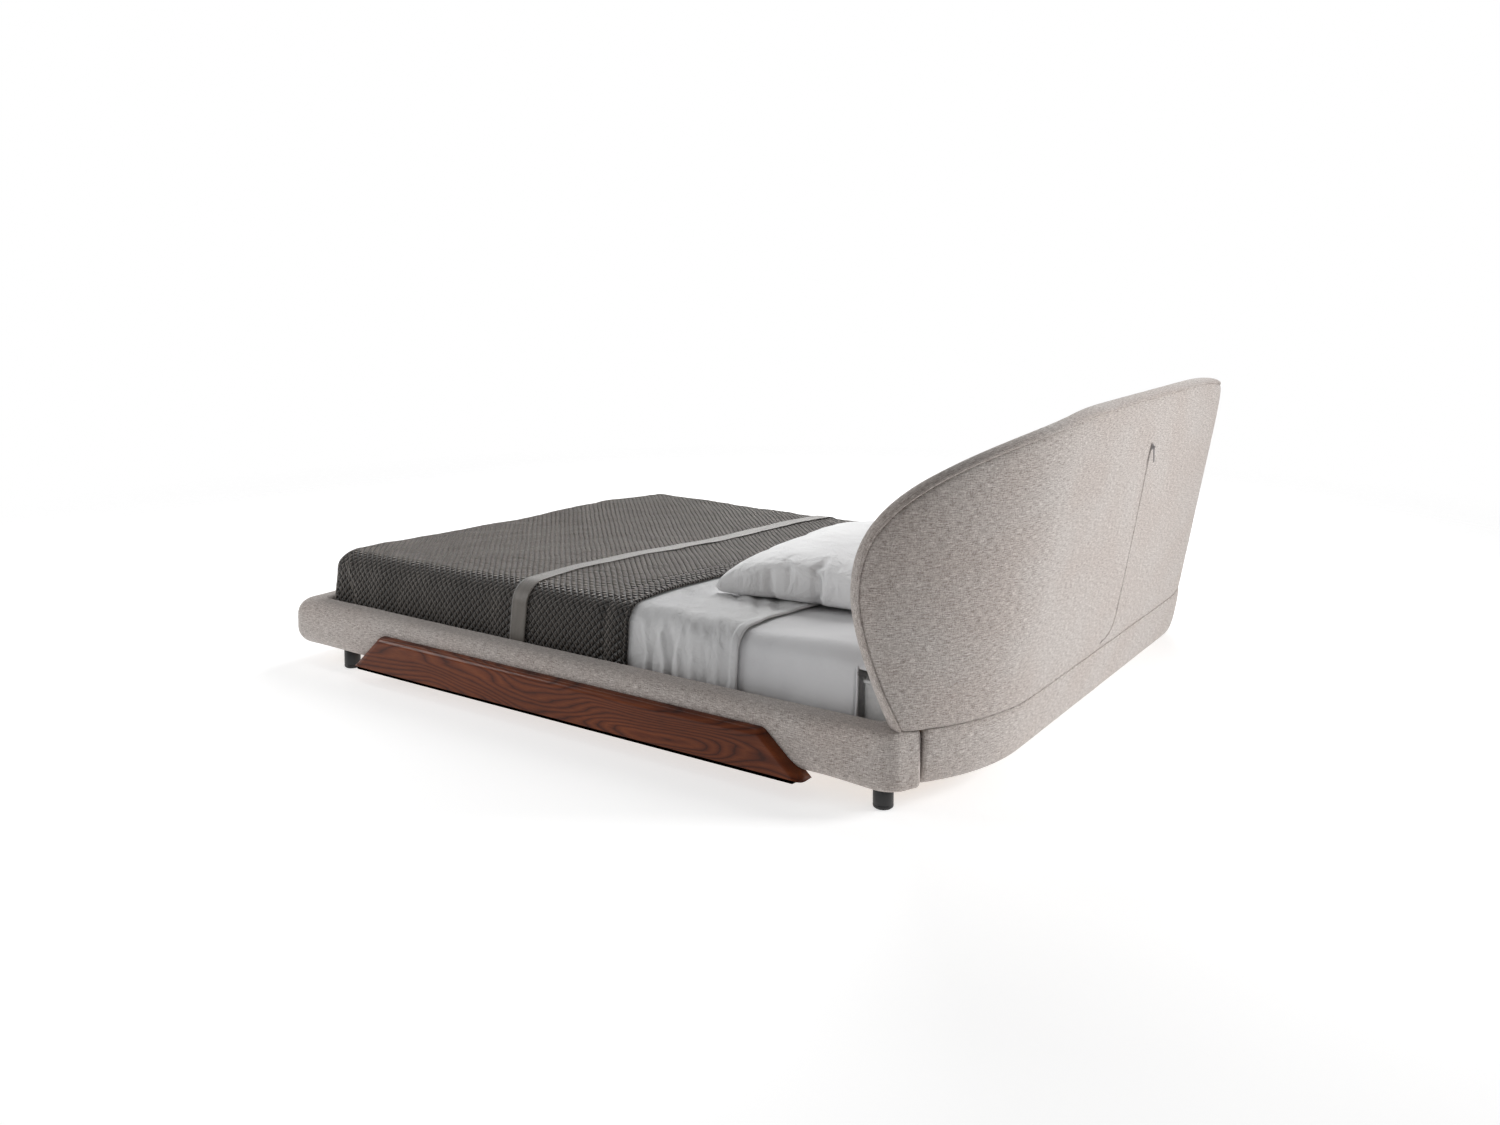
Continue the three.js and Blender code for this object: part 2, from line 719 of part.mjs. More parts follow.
const whole = new THREE.Box3();
for (const mesh of meshes) {
  mesh.geometry.computeBoundingBox();
  whole.union(mesh.geometry.boundingBox);
}
const group = new THREE.Group();
group.name = "sleigh_bed";
for (const mesh of meshes) {
  mesh.geometry.translate(0, -(whole.min.y + whole.max.y) / 2, 0);
  mesh.geometry.computeVertexNormals();
  group.add(mesh);
}

export default group;
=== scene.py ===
"""Upholstered bed with a winged headboard, in metres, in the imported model's frame."""
import math

import bmesh
import bpy
import numpy as np
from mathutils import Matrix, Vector, kdtree, noise


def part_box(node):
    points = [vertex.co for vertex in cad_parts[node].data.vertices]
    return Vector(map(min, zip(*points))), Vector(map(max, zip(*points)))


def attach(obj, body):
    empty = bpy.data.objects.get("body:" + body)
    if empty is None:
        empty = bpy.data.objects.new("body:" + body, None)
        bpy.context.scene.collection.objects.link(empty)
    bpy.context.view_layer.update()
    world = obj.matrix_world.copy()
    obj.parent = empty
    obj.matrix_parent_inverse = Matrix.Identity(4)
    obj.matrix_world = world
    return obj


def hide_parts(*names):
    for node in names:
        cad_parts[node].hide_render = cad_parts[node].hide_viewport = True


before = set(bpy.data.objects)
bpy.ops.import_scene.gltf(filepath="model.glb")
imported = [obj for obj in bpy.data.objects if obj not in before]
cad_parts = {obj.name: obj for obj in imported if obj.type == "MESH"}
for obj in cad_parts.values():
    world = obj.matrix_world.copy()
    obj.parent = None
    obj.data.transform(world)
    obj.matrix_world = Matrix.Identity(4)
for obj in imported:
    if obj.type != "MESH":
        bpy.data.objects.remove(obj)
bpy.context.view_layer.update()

# Lengths along the bed are worked out from the middle of the frame's back arc, FORWARD in front
# of the row frame's own zero. The foot rail's outer face is 1.130 m from there.
FORWARD = -1.130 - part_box("rail_upholstery")[0].y
BED = "bed"


# ------ small helpers

def smooth(t):
    t = np.clip(t, 0.0, 1.0)
    return t * t * (3 - 2 * t)


def bell(x, middle, width):
    return np.exp(-((x - middle) / width) ** 2)


def fbm(x, y, z, octaves=3):
    """Smooth noise from about -1 to 1 at each place."""
    places = np.stack(np.broadcast_arrays(x, y, z), -1)
    values = [noise.fractal(p, 1.0, 2.0, octaves) for p in places.reshape(-1, 3).tolist()]
    return np.array(values).reshape(places.shape[:-1])


def unit(v):
    return v / np.linalg.norm(v, axis=-1, keepdims=True)


def walked(line):
    """Distance of each point from the first, along their line."""
    return np.concatenate([[0], np.cumsum(np.linalg.norm(np.diff(line, axis=0), axis=1))])


def spaced(points, n):
    """n points evenly spaced along a line."""
    points = np.array(points, float)
    far = walked(points)
    at = np.linspace(0, far[-1], n)
    return np.stack([np.interp(at, far, points[:, k]) for k in range(points.shape[1])], 1)


def between(a, b, n):
    """n points evenly from a towards b, without b."""
    a, b = np.array(a), np.array(b)
    return a + (b - a) * np.linspace(0, 1, n + 1)[:-1, None]


def rounded(points, times=2):
    """Cuts a line's corners, and keeps its ends."""
    p = np.array(points, float)
    for _ in range(times):
        q = np.empty((2 * len(p) - 2, p.shape[1]))
        q[0::2] = 0.75 * p[:-1] + 0.25 * p[1:]
        q[1::2] = 0.25 * p[:-1] + 0.75 * p[1:]
        p = np.concatenate([p[:1], q, p[-1:]])
    return p


def arc(cx, cy, r, a0, a1, n):
    a = np.radians(np.linspace(a0, a1, n))
    return np.stack([cx + r * np.cos(a), cy + r * np.sin(a)], 1)


def shown(name, data):
    """A new object in the scene."""
    made = bpy.data.objects.new(name, data)
    bpy.context.scene.collection.objects.link(made)
    return made


def merge(mesh, distance, outward=True):
    """Joins the points that meet, and turns the faces outward."""
    b = bmesh.new()
    b.from_mesh(mesh)
    bmesh.ops.remove_doubles(b, verts=b.verts, dist=distance)
    if outward:
        bmesh.ops.recalc_face_normals(b, faces=b.faces)
    b.to_mesh(mesh)
    b.free()
    mesh.polygons.foreach_set("use_smooth", [True] * len(mesh.polygons))


def mesh_of(name, points, faces, uv):
    """A mesh with one UV pair for each face corner."""
    mesh = bpy.data.meshes.new(name)
    mesh.from_pydata(points.tolist(), [], faces)
    mesh.uv_layers.new(name="metres").data.foreach_set("uv", np.array(uv, np.float32).ravel())
    return mesh


def make(name, points, faces, uv, material, stands_for=(), slot=None, outward=True):
    """A smooth piece from points in the bed's own lengths."""
    mesh = mesh_of(name, points.reshape(-1, 3) - [0, FORWARD, 0], faces, uv)
    merge(mesh, 2e-6, outward)
    mesh.materials.append(material)
    piece = shown(name, mesh)
    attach(piece, BED)
    if stands_for:
        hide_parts(*stands_for)
    return piece


def quads(n, m, closed=False):
    """Faces of an n by m grid of points, and their places in its UV grid."""
    wide = m if closed else m - 1
    i, j = (x.ravel() for x in np.meshgrid(np.arange(n - 1), np.arange(wide), indexing="ij"))
    k = (j + 1) % m
    faces = np.stack([i * m + j, i * m + k, (i + 1) * m + k, (i + 1) * m + j], 1)
    return faces, ((i, j), (i, j + 1), (i + 1, j + 1), (i + 1, j))


def grid(name, rows, uv, material, closed=False, capped=False, **more):
    """A piece from rows of points. Closed joins each row's ends, and capped fills the first and last."""
    n, m = rows.shape[:2]
    faces, places = quads(n, m, closed)
    corner_uv = np.stack([uv[p] for p in places], 1).reshape(-1, 2).tolist()
    faces = faces.tolist()
    if capped:
        faces += [list(range(m)), list(range((n - 1) * m, n * m))]
        for row in (0, n - 1):
            flat = rows[row] - rows[row].mean(0)
            side = flat[np.abs(flat).sum(1).argmax()] * [1, 1, 0]
            side = side / max(np.linalg.norm(side), 1e-9)
            corner_uv += np.stack([flat @ side, flat[:, 2]], 1).tolist()
    return make(name, rows, faces, corner_uv, material, **more)


def wrapped(step, rows):
    """UVs of closed rows: how far along the piece each row is, and the way round it."""
    d = np.linalg.norm(np.diff(np.concatenate([rows, rows[:, :1]], 1), axis=1), axis=2)
    girth = np.concatenate([np.zeros((len(rows), 1)), np.cumsum(d, 1)], 1)
    return np.stack([np.repeat(step[:, None], girth.shape[1], 1), girth], -1)


def tube(name, path, radius, material, **more):
    """A closed round cord along a path, thinned at its ends."""
    n = len(path)
    ahead = unit(np.gradient(path, axis=0))
    up = np.array([0, 0, 1.0]) - ahead * ahead[:, 2:3]
    weak = np.linalg.norm(up, axis=1) < 0.2
    up[weak] = np.array([0, 1.0, 0]) - ahead[weak] * ahead[weak, 1:2]
    up = unit(up)
    a = np.linspace(0, 2 * math.pi, 10, endpoint=False)[None, :, None]
    end = np.minimum(np.arange(n), np.arange(n)[::-1])
    size = radius * np.sqrt(np.clip((end + 0.6) / 2.2, 0, 1))
    round_it = np.cos(a) * np.cross(ahead, up)[:, None] + np.sin(a) * up[:, None]
    rows = path[:, None] + size[:, None, None] * round_it
    return grid(name, rows, wrapped(walked(path), rows), material, closed=True, capped=True, **more)


# ------ materials

def tone(r, g, b):
    """Linear colour from 0 to 255 display values."""
    c = np.array([r, g, b]) / 255
    c = np.where(c <= 0.04045, c / 12.92, ((c + 0.055) / 1.055) ** 2.4)
    return (*c.tolist(), 1.0)


def grey(value):
    return tone(value, value, value)


class Finish:
    """A Principled material and short ways to add nodes to it."""

    def __init__(self, name, **fixed):
        self.material = bpy.data.materials.new(name)
        self.material.use_nodes = True
        self.tree = self.material.node_tree
        self.shader = self.tree.nodes["Principled BSDF"]
        for socket, value in fixed.items():
            self.shader.inputs[socket.replace("_", " ")].default_value = value

    def node(self, kind, sockets=None, **settings):
        made = self.tree.nodes.new(kind)
        for k, v in settings.items():
            setattr(made, k, v)
        for k, v in (sockets or {}).items():
            if isinstance(v, bpy.types.NodeSocket):
                self.tree.links.new(v, made.inputs[k])
            else:
                made.inputs[k].default_value = v
        return made

    def math(self, operation, a, b=0.0, c=0.0):
        return self.node("ShaderNodeMath", {0: a, 1: b, 2: c}, operation=operation).outputs[0]

    def times(self, a, b):
        return self.math("MULTIPLY", a, b)

    def plus(self, a, b):
        return self.math("ADD", a, b)

    def cloth(self, u, v, w=0.0):
        """Place on the cloth in metres, stretched by a scale each way."""
        place = self.node("ShaderNodeUVMap", uv_map="metres").outputs[0]
        return self.node("ShaderNodeMapping", {0: place, 1: (w, w, w), 3: (u, v, 1)}).outputs[0]

    def body(self, x, y, z):
        place = self.node("ShaderNodeTexCoord").outputs["Object"]
        return self.node("ShaderNodeMapping", {0: place, 3: (x, y, z)}).outputs[0]

    def noise(self, vector, scale=1.0, detail=2.0, rough=0.5, bend=0.0):
        sockets = {"Vector": vector, "Scale": scale, "Detail": detail, "Roughness": rough,
                   "Distortion": bend}
        return self.node("ShaderNodeTexNoise", sockets).outputs["Fac"]

    def ramp(self, value, *stops):
        made = self.node("ShaderNodeValToRGB", {0: value})
        elements = made.color_ramp.elements
        while len(elements) < len(stops):
            elements.new(0.5)
        for element, (at, colour) in zip(elements, stops):
            element.position, element.color = at, colour
        return made.outputs[0]

    def tinted(self, share, colour, tint):
        made = self.node("ShaderNodeMixRGB", {0: share, 1: colour, 2: tint}, blend_type="MULTIPLY")
        return made.outputs[0]

    def bump(self, height, strength, distance, under=None):
        sockets = {"Height": height, "Strength": strength, "Distance": distance}
        if under is not None:
            sockets["Normal"] = under
        return self.node("ShaderNodeBump", sockets).outputs[0]

    def put(self, **sockets):
        for k, v in sockets.items():
            self.tree.links.new(v, self.shader.inputs[k.replace("_", " ")])
        return self.material


def waves(f, axis, pitch):
    """A sine of that pitch in metres along one way of the cloth."""
    place = f.node("ShaderNodeSeparateXYZ", {0: f.cloth(1, 1)}).outputs[axis]
    return f.math("SINE", f.times(place, 2 * math.pi / pitch))


def upholstery():
    f = Finish("upholstery_melange", Roughness=0.92, Sheen_Weight=0.25, Sheen_Roughness=0.5,
               Specular_IOR_Level=0.25)
    slub = f.noise(f.cloth(54, 430), detail=3, rough=0.65)
    fleck = f.noise(f.cloth(310, 500, 7.3), detail=3, rough=0.65)
    thread = f.noise(f.cloth(560, 80, 3.1), detail=2, rough=0.5)
    cloud = f.noise(f.cloth(5, 7, 1.7), detail=2)
    value = f.plus(f.times(slub, 0.46), f.times(fleck, 0.34))
    value = f.plus(value, f.times(thread, 0.20))
    colour = f.ramp(value, (0.38, tone(120, 111, 105)), (0.46, tone(165, 156, 151)),
                    (0.54, tone(194, 187, 182)), (0.63, tone(226, 221, 216)))
    warm = f.ramp(cloud, (0.35, tone(247, 241, 238)), (0.65, grey(255)))
    colour = f.tinted(0.6, colour, warm)
    weave = f.times(waves(f, 0, 0.0019), waves(f, 1, 0.0015))
    height = f.plus(f.times(value, 1.6), f.times(weave, 0.35))
    return f.put(Base_Color=colour, Normal=f.bump(height, 0.5, 0.0008))


def quilt():
    f = Finish("coverlet_quilt", Roughness=0.5, Sheen_Weight=0.75, Sheen_Roughness=0.2,
               Specular_IOR_Level=0.45, Sheen_Tint=tone(238, 228, 219))
    axes = f.node("ShaderNodeSeparateXYZ", {0: f.cloth(1, 1)})
    across = f.times(axes.outputs[0], 1 / 0.0235)
    down = f.times(axes.outputs[1], 1 / 0.0215)
    bend = f.times(f.math("SUBTRACT", f.noise(f.cloth(9, 9), detail=1), 0.5), 0.5)
    one = f.plus(f.plus(across, down), bend)
    two = f.plus(f.math("SUBTRACT", across, down), bend)
    one, two = f.math("PINGPONG", one, 0.5), f.math("PINGPONG", two, 0.5)
    low = f.times(f.math("SMOOTH_MIN", one, two, 0.12), 2.0)
    puff = f.math("POWER", f.math("MAXIMUM", low, 0.0), 0.55)
    fine = f.noise(f.cloth(700, 700), detail=2)
    # Base colour from the quilting's puff: it falls to near black along the stitched seams, painted shade
    # in the dimples between the diamonds.
    colour = f.ramp(puff, (0.16, grey(2)), (0.44, tone(22, 19, 17)), (0.88, tone(60, 52, 46)))
    faded = f.ramp(f.noise(f.cloth(6, 14), detail=3), (0.3, tone(225, 222, 220)), (0.7, grey(255)))
    yarn = f.ramp(fine, (0.3, tone(190, 188, 186)), (0.7, grey(255)))
    colour = f.tinted(0.35, f.tinted(0.7, colour, faded), yarn)
    coarse = f.bump(puff, 1.0, 0.0075)
    return f.put(Base_Color=colour, Normal=f.bump(fine, 0.25, 0.0006, coarse))


def satin():
    f = Finish("ribbon_satin", Roughness=0.42, Sheen_Weight=0.6, Specular_IOR_Level=0.5)
    ribs = waves(f, 1, 0.0011)
    cloud = f.noise(f.cloth(4, 60), detail=2)
    colour = f.ramp(cloud, (0.3, tone(84, 78, 71)), (0.7, tone(104, 97, 89)))
    return f.put(Base_Color=colour, Normal=f.bump(ribs, 0.2, 0.0004))


def cotton(name, light, dark, creases=0.5):
    f = Finish(name, Roughness=0.85, Sheen_Weight=0.15, Specular_IOR_Level=0.25)
    weave = f.times(waves(f, 0, 0.0008), waves(f, 1, 0.0008))
    crumple = f.noise(f.cloth(13, 13), detail=5, rough=0.62, bend=0.6)
    cloud = f.noise(f.cloth(3, 3), detail=2)
    colour = f.ramp(cloud, (0.3, dark), (0.7, light))
    under = f.bump(crumple, creases, 0.012)
    return f.put(Base_Color=colour, Normal=f.bump(weave, 0.15, 0.0003, under))


def ticking():
    f = Finish("mattress_ticking", Roughness=0.9, Sheen_Weight=0.1)
    knit = f.times(waves(f, 0, 0.004), waves(f, 1, 0.003))
    mottled = f.noise(f.cloth(90, 90), detail=3)
    colour = f.ramp(mottled, (0.3, grey(206)), (0.7, tone(220, 220, 219)))
    return f.put(Base_Color=colour, Normal=f.bump(knit, 0.4, 0.001))


def walnut():
    """Growth rings are the height lines of a slow noise drawn out along the board."""
    f = Finish("walnut", Specular_IOR_Level=0.12, Coat_Weight=0.2, Coat_Roughness=0.12)
    field = f.noise(f.body(2.5, 1.15, 8.5), detail=1.5, rough=0.45, bend=0.35)
    ripple = f.noise(f.body(30, 9, 60), detail=2, rough=0.5)
    field = f.plus(f.times(field, 27), f.times(ripple, 0.6))
    rings = f.times(f.math("PINGPONG", field, 0.5), 2.0)
    pores = f.noise(f.body(900, 30, 900), detail=2, rough=0.6)
    broad = f.noise(f.body(16, 1.4, 16), detail=3, rough=0.5)
    colour = f.ramp(rings, (0.02, tone(72, 30, 12)), (0.22, tone(98, 45, 20)), (0.60, tone(114, 56, 26)),
                    (1.00, tone(124, 64, 31)))
    broad = f.ramp(broad, (0.32, tone(196, 184, 176)), (0.66, tone(255, 252, 248)))
    open_grain = f.ramp(pores, (0.40, tone(140, 122, 114)), (0.52, grey(255)))
    colour = f.tinted(0.3, f.tinted(0.85, colour, broad), open_grain)
    rough = f.ramp(rings, (0.0, (0.42, 0.42, 0.42, 1)), (0.6, (0.33, 0.33, 0.33, 1)))
    return f.put(Base_Color=colour, Roughness=rough, Normal=f.bump(pores, 0.1, 0.0003))


def timber(name, light, dark, scale):
    f = Finish(name, Roughness=0.6)
    grain = f.noise(f.body(*scale), detail=4, rough=0.6, bend=0.4)
    colour = f.ramp(grain, (0.3, dark), (0.7, light))
    return f.put(Base_Color=colour, Normal=f.bump(grain, 0.2, 0.0006))


def metal(name, colour, rough, metallic=1.0):
    f = Finish(name, Metallic=metallic)
    wear = f.noise(f.body(300, 300, 300), detail=3)
    shade = tuple(c * 0.8 for c in colour[:3]) + (1.0,)
    gloss = f.ramp(wear, (0.3, (rough * 0.8,) * 3 + (1,)), (0.7, (rough * 1.2,) * 3 + (1,)))
    return f.put(Base_Color=f.ramp(wear, (0.3, shade), (0.7, colour)), Roughness=gloss,
                 Normal=f.bump(wear, 0.08, 0.0003))


def zip_tape():
    f = Finish("zip_teeth", Roughness=0.5)
    place = f.node("ShaderNodeSeparateXYZ", {0: f.body(1, 1, 1)}).outputs[2]
    tooth = f.math("PINGPONG", f.times(place, 1 / 0.0024), 0.5)
    colour = f.ramp(f.times(tooth, 2.0), (0.2, tone(38, 35, 34)), (0.7, tone(92, 86, 82)))
    return f.put(Base_Color=colour, Normal=f.bump(tooth, 0.8, 0.0012))


FABRIC = upholstery()
QUILT = quilt()
SATIN = satin()
WHITE = cotton("bedlinen_white", grey(212), tone(200, 200, 201), 0.8)
PILLOWCASE = cotton("pillowcase_white", grey(248), tone(238, 238, 239), 1.0)
SHEET = cotton("fitted_sheet_white", tone(218, 218, 219), tone(208, 208, 210), 0.35)
TICKING = ticking()
WALNUT = walnut()
BEECH = timber("beech", tone(205, 170, 128), tone(176, 138, 96), (60, 6, 60))
PLY = timber("birch_plywood", tone(214, 186, 146), tone(180, 146, 104), (16, 90, 240))
STEEL = metal("zinc_plated_steel", tone(176, 178, 182), 0.34)
ZIP_METAL = metal("zip_nickel", tone(178, 176, 178), 0.36)
BLACK = metal("leg_black", tone(27, 27, 28), 0.42, 0.0)
TEETH = zip_tape()


# ------ headboard surfaces

BACK_FLAT = 0.575
BACK_R = 0.540
BACK_Y = 0.588
BASE_Z = 0.194


def on_back(s, z, d):
    """Point on the curved, raked back: s round from the middle, z up, d out from the surface."""
    s, z, d = np.broadcast_arrays(*(np.asarray(x, float) for x in (s, z, d)))
    turn = np.maximum(0, (np.abs(s) - BACK_FLAT) / BACK_R)
    reach = BACK_R + 0.187 * (z - BASE_Z) + d
    x = np.sign(s) * (np.minimum(np.abs(s), BACK_FLAT) + reach * np.sin(turn))
    return np.stack([x, BACK_Y + reach * np.cos(turn), z], -1)


def half_wing(inset):
    """The shell's edge as (s, z), from the right foot of the wing to the middle of the top."""
    z = np.linspace(150, 515, 60)
    low = np.stack([1106 - 0.00979 * (515 - z) ** 1.605, z], 1)
    a = np.radians(np.linspace(0, 90, 130)[1:])
    power = 2 / 2.45
    high = np.stack([350 + 756 * np.cos(a) ** power, 515 + 378 * np.sin(a) ** power], 1)
    flat = np.stack([np.linspace(345, -20, 60), np.full(60, 893.0)], 1)
    line = spaced(np.concatenate([low, high, flat]) / 1000, 900)
    ahead = unit(np.gradient(line, axis=0))
    line = line + np.stack([-ahead[:, 1], ahead[:, 0]], 1) * inset
    first = int(np.argmax(line[:, 1] > BASE_Z + 0.0003))
    t = (BASE_Z + 0.0003 - line[first - 1, 1]) / (line[first, 1] - line[first - 1, 1])
    line = np.concatenate([[line[first - 1] * (1 - t) + line[first] * t], line[first:]])
    last = int(np.argmax(line[:, 0] < 0))
    return np.concatenate([line[:last], [[0.0, line[last, 1]]]])


def shell_depth(s):
    return 0.095 - 0.027 * smooth((np.abs(s) - 0.300) / 0.620)


def leaning(s, z):
    """Height on the front face: its top falls a little below the back's in the middle."""
    return z - 0.016 * smooth((1.12 - np.abs(s)) / 0.56) * smooth((z - 0.60) / 0.25)


def rolled(z, edge):
    """How far both faces turn in towards the shell's edge, at a distance from it."""
    return -0.015 * np.exp(-edge / 0.028) * smooth((z - BASE_Z - 0.02) / 0.12)


def panel_grid(inset):
    """(s, z) over the shell inside an inset edge, finer near the edge."""
    line = half_wing(inset)
    line = spaced(line[line[:, 0] > 0.3501], 120)
    near = np.array([0, 0.0012, 0.0028, 0.005, 0.008, 0.0125, 0.019])
    s = np.array([np.concatenate([reach - near, np.linspace(reach - 0.028, -reach + 0.028, 150),
                                  -reach + near[::-1]]) for reach in line[:, 0]])
    return s, np.repeat(line[:, 1:2], s.shape[1], 1)


def edge_distance(s, z, inset):
    line = half_wing(inset)
    foot = np.stack([np.linspace(0, line[0, 0], 400), np.full(400, BASE_Z)], 1)
    line = np.concatenate([spaced(line, 2200), foot])
    tree = kdtree.KDTree(len(line))
    for i, (a, b) in enumerate(line.tolist()):
        tree.insert((a, b, 0), i)
    tree.balance()
    flat = np.stack([np.abs(s), z], -1).reshape(-1, 2).tolist()
    return np.array([tree.find((a, b, 0))[2] for a, b in flat]).reshape(s.shape)


def panel(name, inset, outward, crown, stands_for):
    """The stretched cover of one side of the shell, tucked into its edge seam."""
    s, z = panel_grid(inset)
    off = edge_distance(s, z, inset)
    soft, pull = fbm(s * 3.2, z * 3.2, crown * 50, 2), fbm(s * 46, z * 46, 0, 2)
    puff = crown * smooth(off / 0.16) + 0.0011 * soft * smooth(off / 0.05)
    puff = puff + 0.0005 * pull * np.exp(-off / 0.014)
    firm = np.where(z - BASE_Z < off + 0.002, 0.10 + 0.90 * smooth((np.abs(s) - 0.42) / 0.42),
                    1.0 - 0.45 * smooth((0.85 - np.abs(s)) / 0.45))
    puff = puff - 0.0052 * firm * np.exp(-(off / 0.0026) ** 1.25) - 0.0014 * firm * np.exp(-off / 0.016)
    puff = puff + rolled(z, off + inset)
    d = puff if outward else -shell_depth(s) - puff
    rows = on_back(s, z if outward else leaning(s, z), d)
    return grid(name, rows, np.stack([s, z], -1), FABRIC, stands_for=stands_for, slot="upholstery",
                outward=False)


SEAM = 0.0165
panel("headboard_back_panel", SEAM, True, 0.0, ["headboard_back_cover"])
panel("headboard_front_panel", SEAM, False, 0.006, ["headboard_front_pad"])

# Edge band: (inset, offset) in mm on the back, mirrored to the front. The small rise beside the
# seam is its turned-in allowance, with the row of topstitching next to it.
BAND = np.array([
    (17.4, -8), (16.6, -4.4), (16.1, -2.0), (15.4, -0.5), (14.6, 0.5), (13.5, 0.8), (12.5, 0.6),
    (11.8, 0.1), (11.4, -0.5), (11.0, -0.2), (10.2, -0.5), (9.2, -1.5), (8.0, -3.3), (6.8, -5.6),
    (5.6, -8.4), (4.5, -11.6), (3.5, -15.2), (2.6, -19.2), (1.9, -23.4), (1.4, -27.6), (1.0, -32),
]) / 1000
PUCKER = 0.0045  # of the way out from the band's middle
STITCH = 0.017


def full_line(inset, n):
    half = half_wing(inset)
    return spaced(np.concatenate([half, half[::-1][1:] * [-1, 1]]), n)


def turned(line, e, d):
    """The band's offset at each place, kept to its own half of the shell's depth."""
    deep = d + rolled(line[:, 1], e)
    share = np.minimum(1, (0.46 * shell_depth(line[:, 0]) - 0.008) / 0.0385)
    return np.where(deep < -0.008, -0.008 + (deep + 0.008) * share, deep)


def edge_band():
    """The band round the shell's edge, a little uneven, and puckered at its topstitching."""
    lines = [(line, turned(line, e, d)) for e, d in BAND for line in [full_line(e, 420)]]
    back = [on_back(*line.T, d) for line, d in lines]
    front = [on_back(line[:, 0], leaning(*line.T), -shell_depth(line[:, 0]) - d) for line, d in lines]
    rows = np.stack(back + front[::-1], 1)
    step = walked(rows[:, len(BAND) - 1])
    uv = wrapped(step, rows)
    middle = rows.mean(1, keepdims=True)
    wave = fbm(step * 9, 0, 0, 2)[:, None, None]
    stitch = np.sin(step * 2 * math.pi / STITCH)[:, None]
    near = bell(np.arange(len(BAND)), 8, 1.6)
    pucker = np.concatenate([near, near[::-1]])[None, :] * stitch * PUCKER
    rows = rows + (rows - middle) * (0.012 * wave) + (rows - middle) * pucker[..., None]
    return grid("headboard_edge_band", rows, uv, FABRIC, closed=True, capped=True,
                stands_for=["headboard_border"], slot="upholstery")


edge_band()

# Belt under the shell: (height, offset) in mm from its turned-under bottom to its tucked top.
BELT = np.array([
    (58.4, -26), (58.0, -20), (58.4, -14.5), (59.6, -10), (61.8, -6.2), (65, -3), (69.5, -0.4),
    (76, 1.8), (86, 3.3), (100, 4.2), (116, 4.6), (132, 4.6), (148, 4.4), (162, 4.0), (173, 3.4),
    (181, 2.3), (186.5, 0.6), (190.3, -2.0), (192.6, -5.4), (193.5, -10), (193.6, -16),
]) / 1000
BELT_END = 0.9272
BELT_R = 0.011


def base_belt():
    profile = rounded(BELT, 1)
    x = np.concatenate([BELT_R * (1 - np.cos(np.radians(np.linspace(0, 80, 9)))),
                        np.linspace(BELT_R, BELT_END, 110)])
    s = np.concatenate([BELT_END - x, -(BELT_END - x)[::-1][1:]])
    gap = np.clip(BELT_END - np.abs(s), 0, BELT_R)
    back = BELT_R - np.sqrt(np.maximum(0, BELT_R ** 2 - (BELT_R - gap) ** 2))
    rows = []
    for z, d in profile:
        firm = 1.0 if z < 0.17 else 0.10 + 0.90 * smooth((np.abs(s) - 0.42) / 0.42)
        tucked = 0.004 + (d - 0.004) * firm if z > 0.17 and d > -0.009 else d
        rows.append(on_back(s, z, tucked - back * 0.9))
    thick = 0.100 - 0.044 * smooth((np.abs(s) - 0.380) / 0.420)
    for z in (BELT[-1, 0], BELT[0, 0]):
        rows.append(on_back(s, z, -thick))
    rows = np.array(rows).transpose(1, 0, 2)
    soft = fbm(s * 7, 0, 0, 2)[:, None]
    rows[:, :len(profile)] += (rows[:, :len(profile)] - rows[:, -1:]) * (0.006 * soft[..., None])
    return grid("headboard_base_belt", rows, wrapped(s, rows), FABRIC, closed=True, capped=True,
                stands_for=["headboard_base_cover"], slot="upholstery")


base_belt()

# Zip placket: two folded lips beside the teeth.
ZIP = [(-9, 752), (-9, 560), (-9, 340), (-7, 275), (-1, 246), (14, 227), (40, 216), (84, 211.5)]
ZIP = spaced(rounded(ZIP, 3) / 1000, 170)
ZIP_SIDE = unit(np.gradient(ZIP, axis=0))[:, ::-1] * [1, -1]

# Section of a lip beside the teeth: (out from the zip's middle, offset) in mm.
LIP = np.array([
    (1.0, -2.0), (1.1, 0.1), (1.5, 0.9), (2.2, 1.2), (3.1, 1.0), (4.0, 0.5), (4.8, -0.4), (5.0, -2.2),
]) / 1000


def zip_lip(name, way):
    rows = np.stack([on_back(*(ZIP + ZIP_SIDE * (way * w)).T, d) for w, d in LIP], 1)
    return grid(name, rows, wrapped(ZIP[:, 1], rows), FABRIC, closed=True, capped=True, slot="upholstery")


zip_lip("zip_lip_left", -1)
zip_lip("zip_lip_right", 1)


# ------ rails

RAIL_Z0, RAIL_Z1 = (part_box("rail_upholstery")[i].z for i in (0, 1))


def straight(a, b, n):
    """n points from a to b, without a."""
    return between(b, a, n - 1)[::-1]


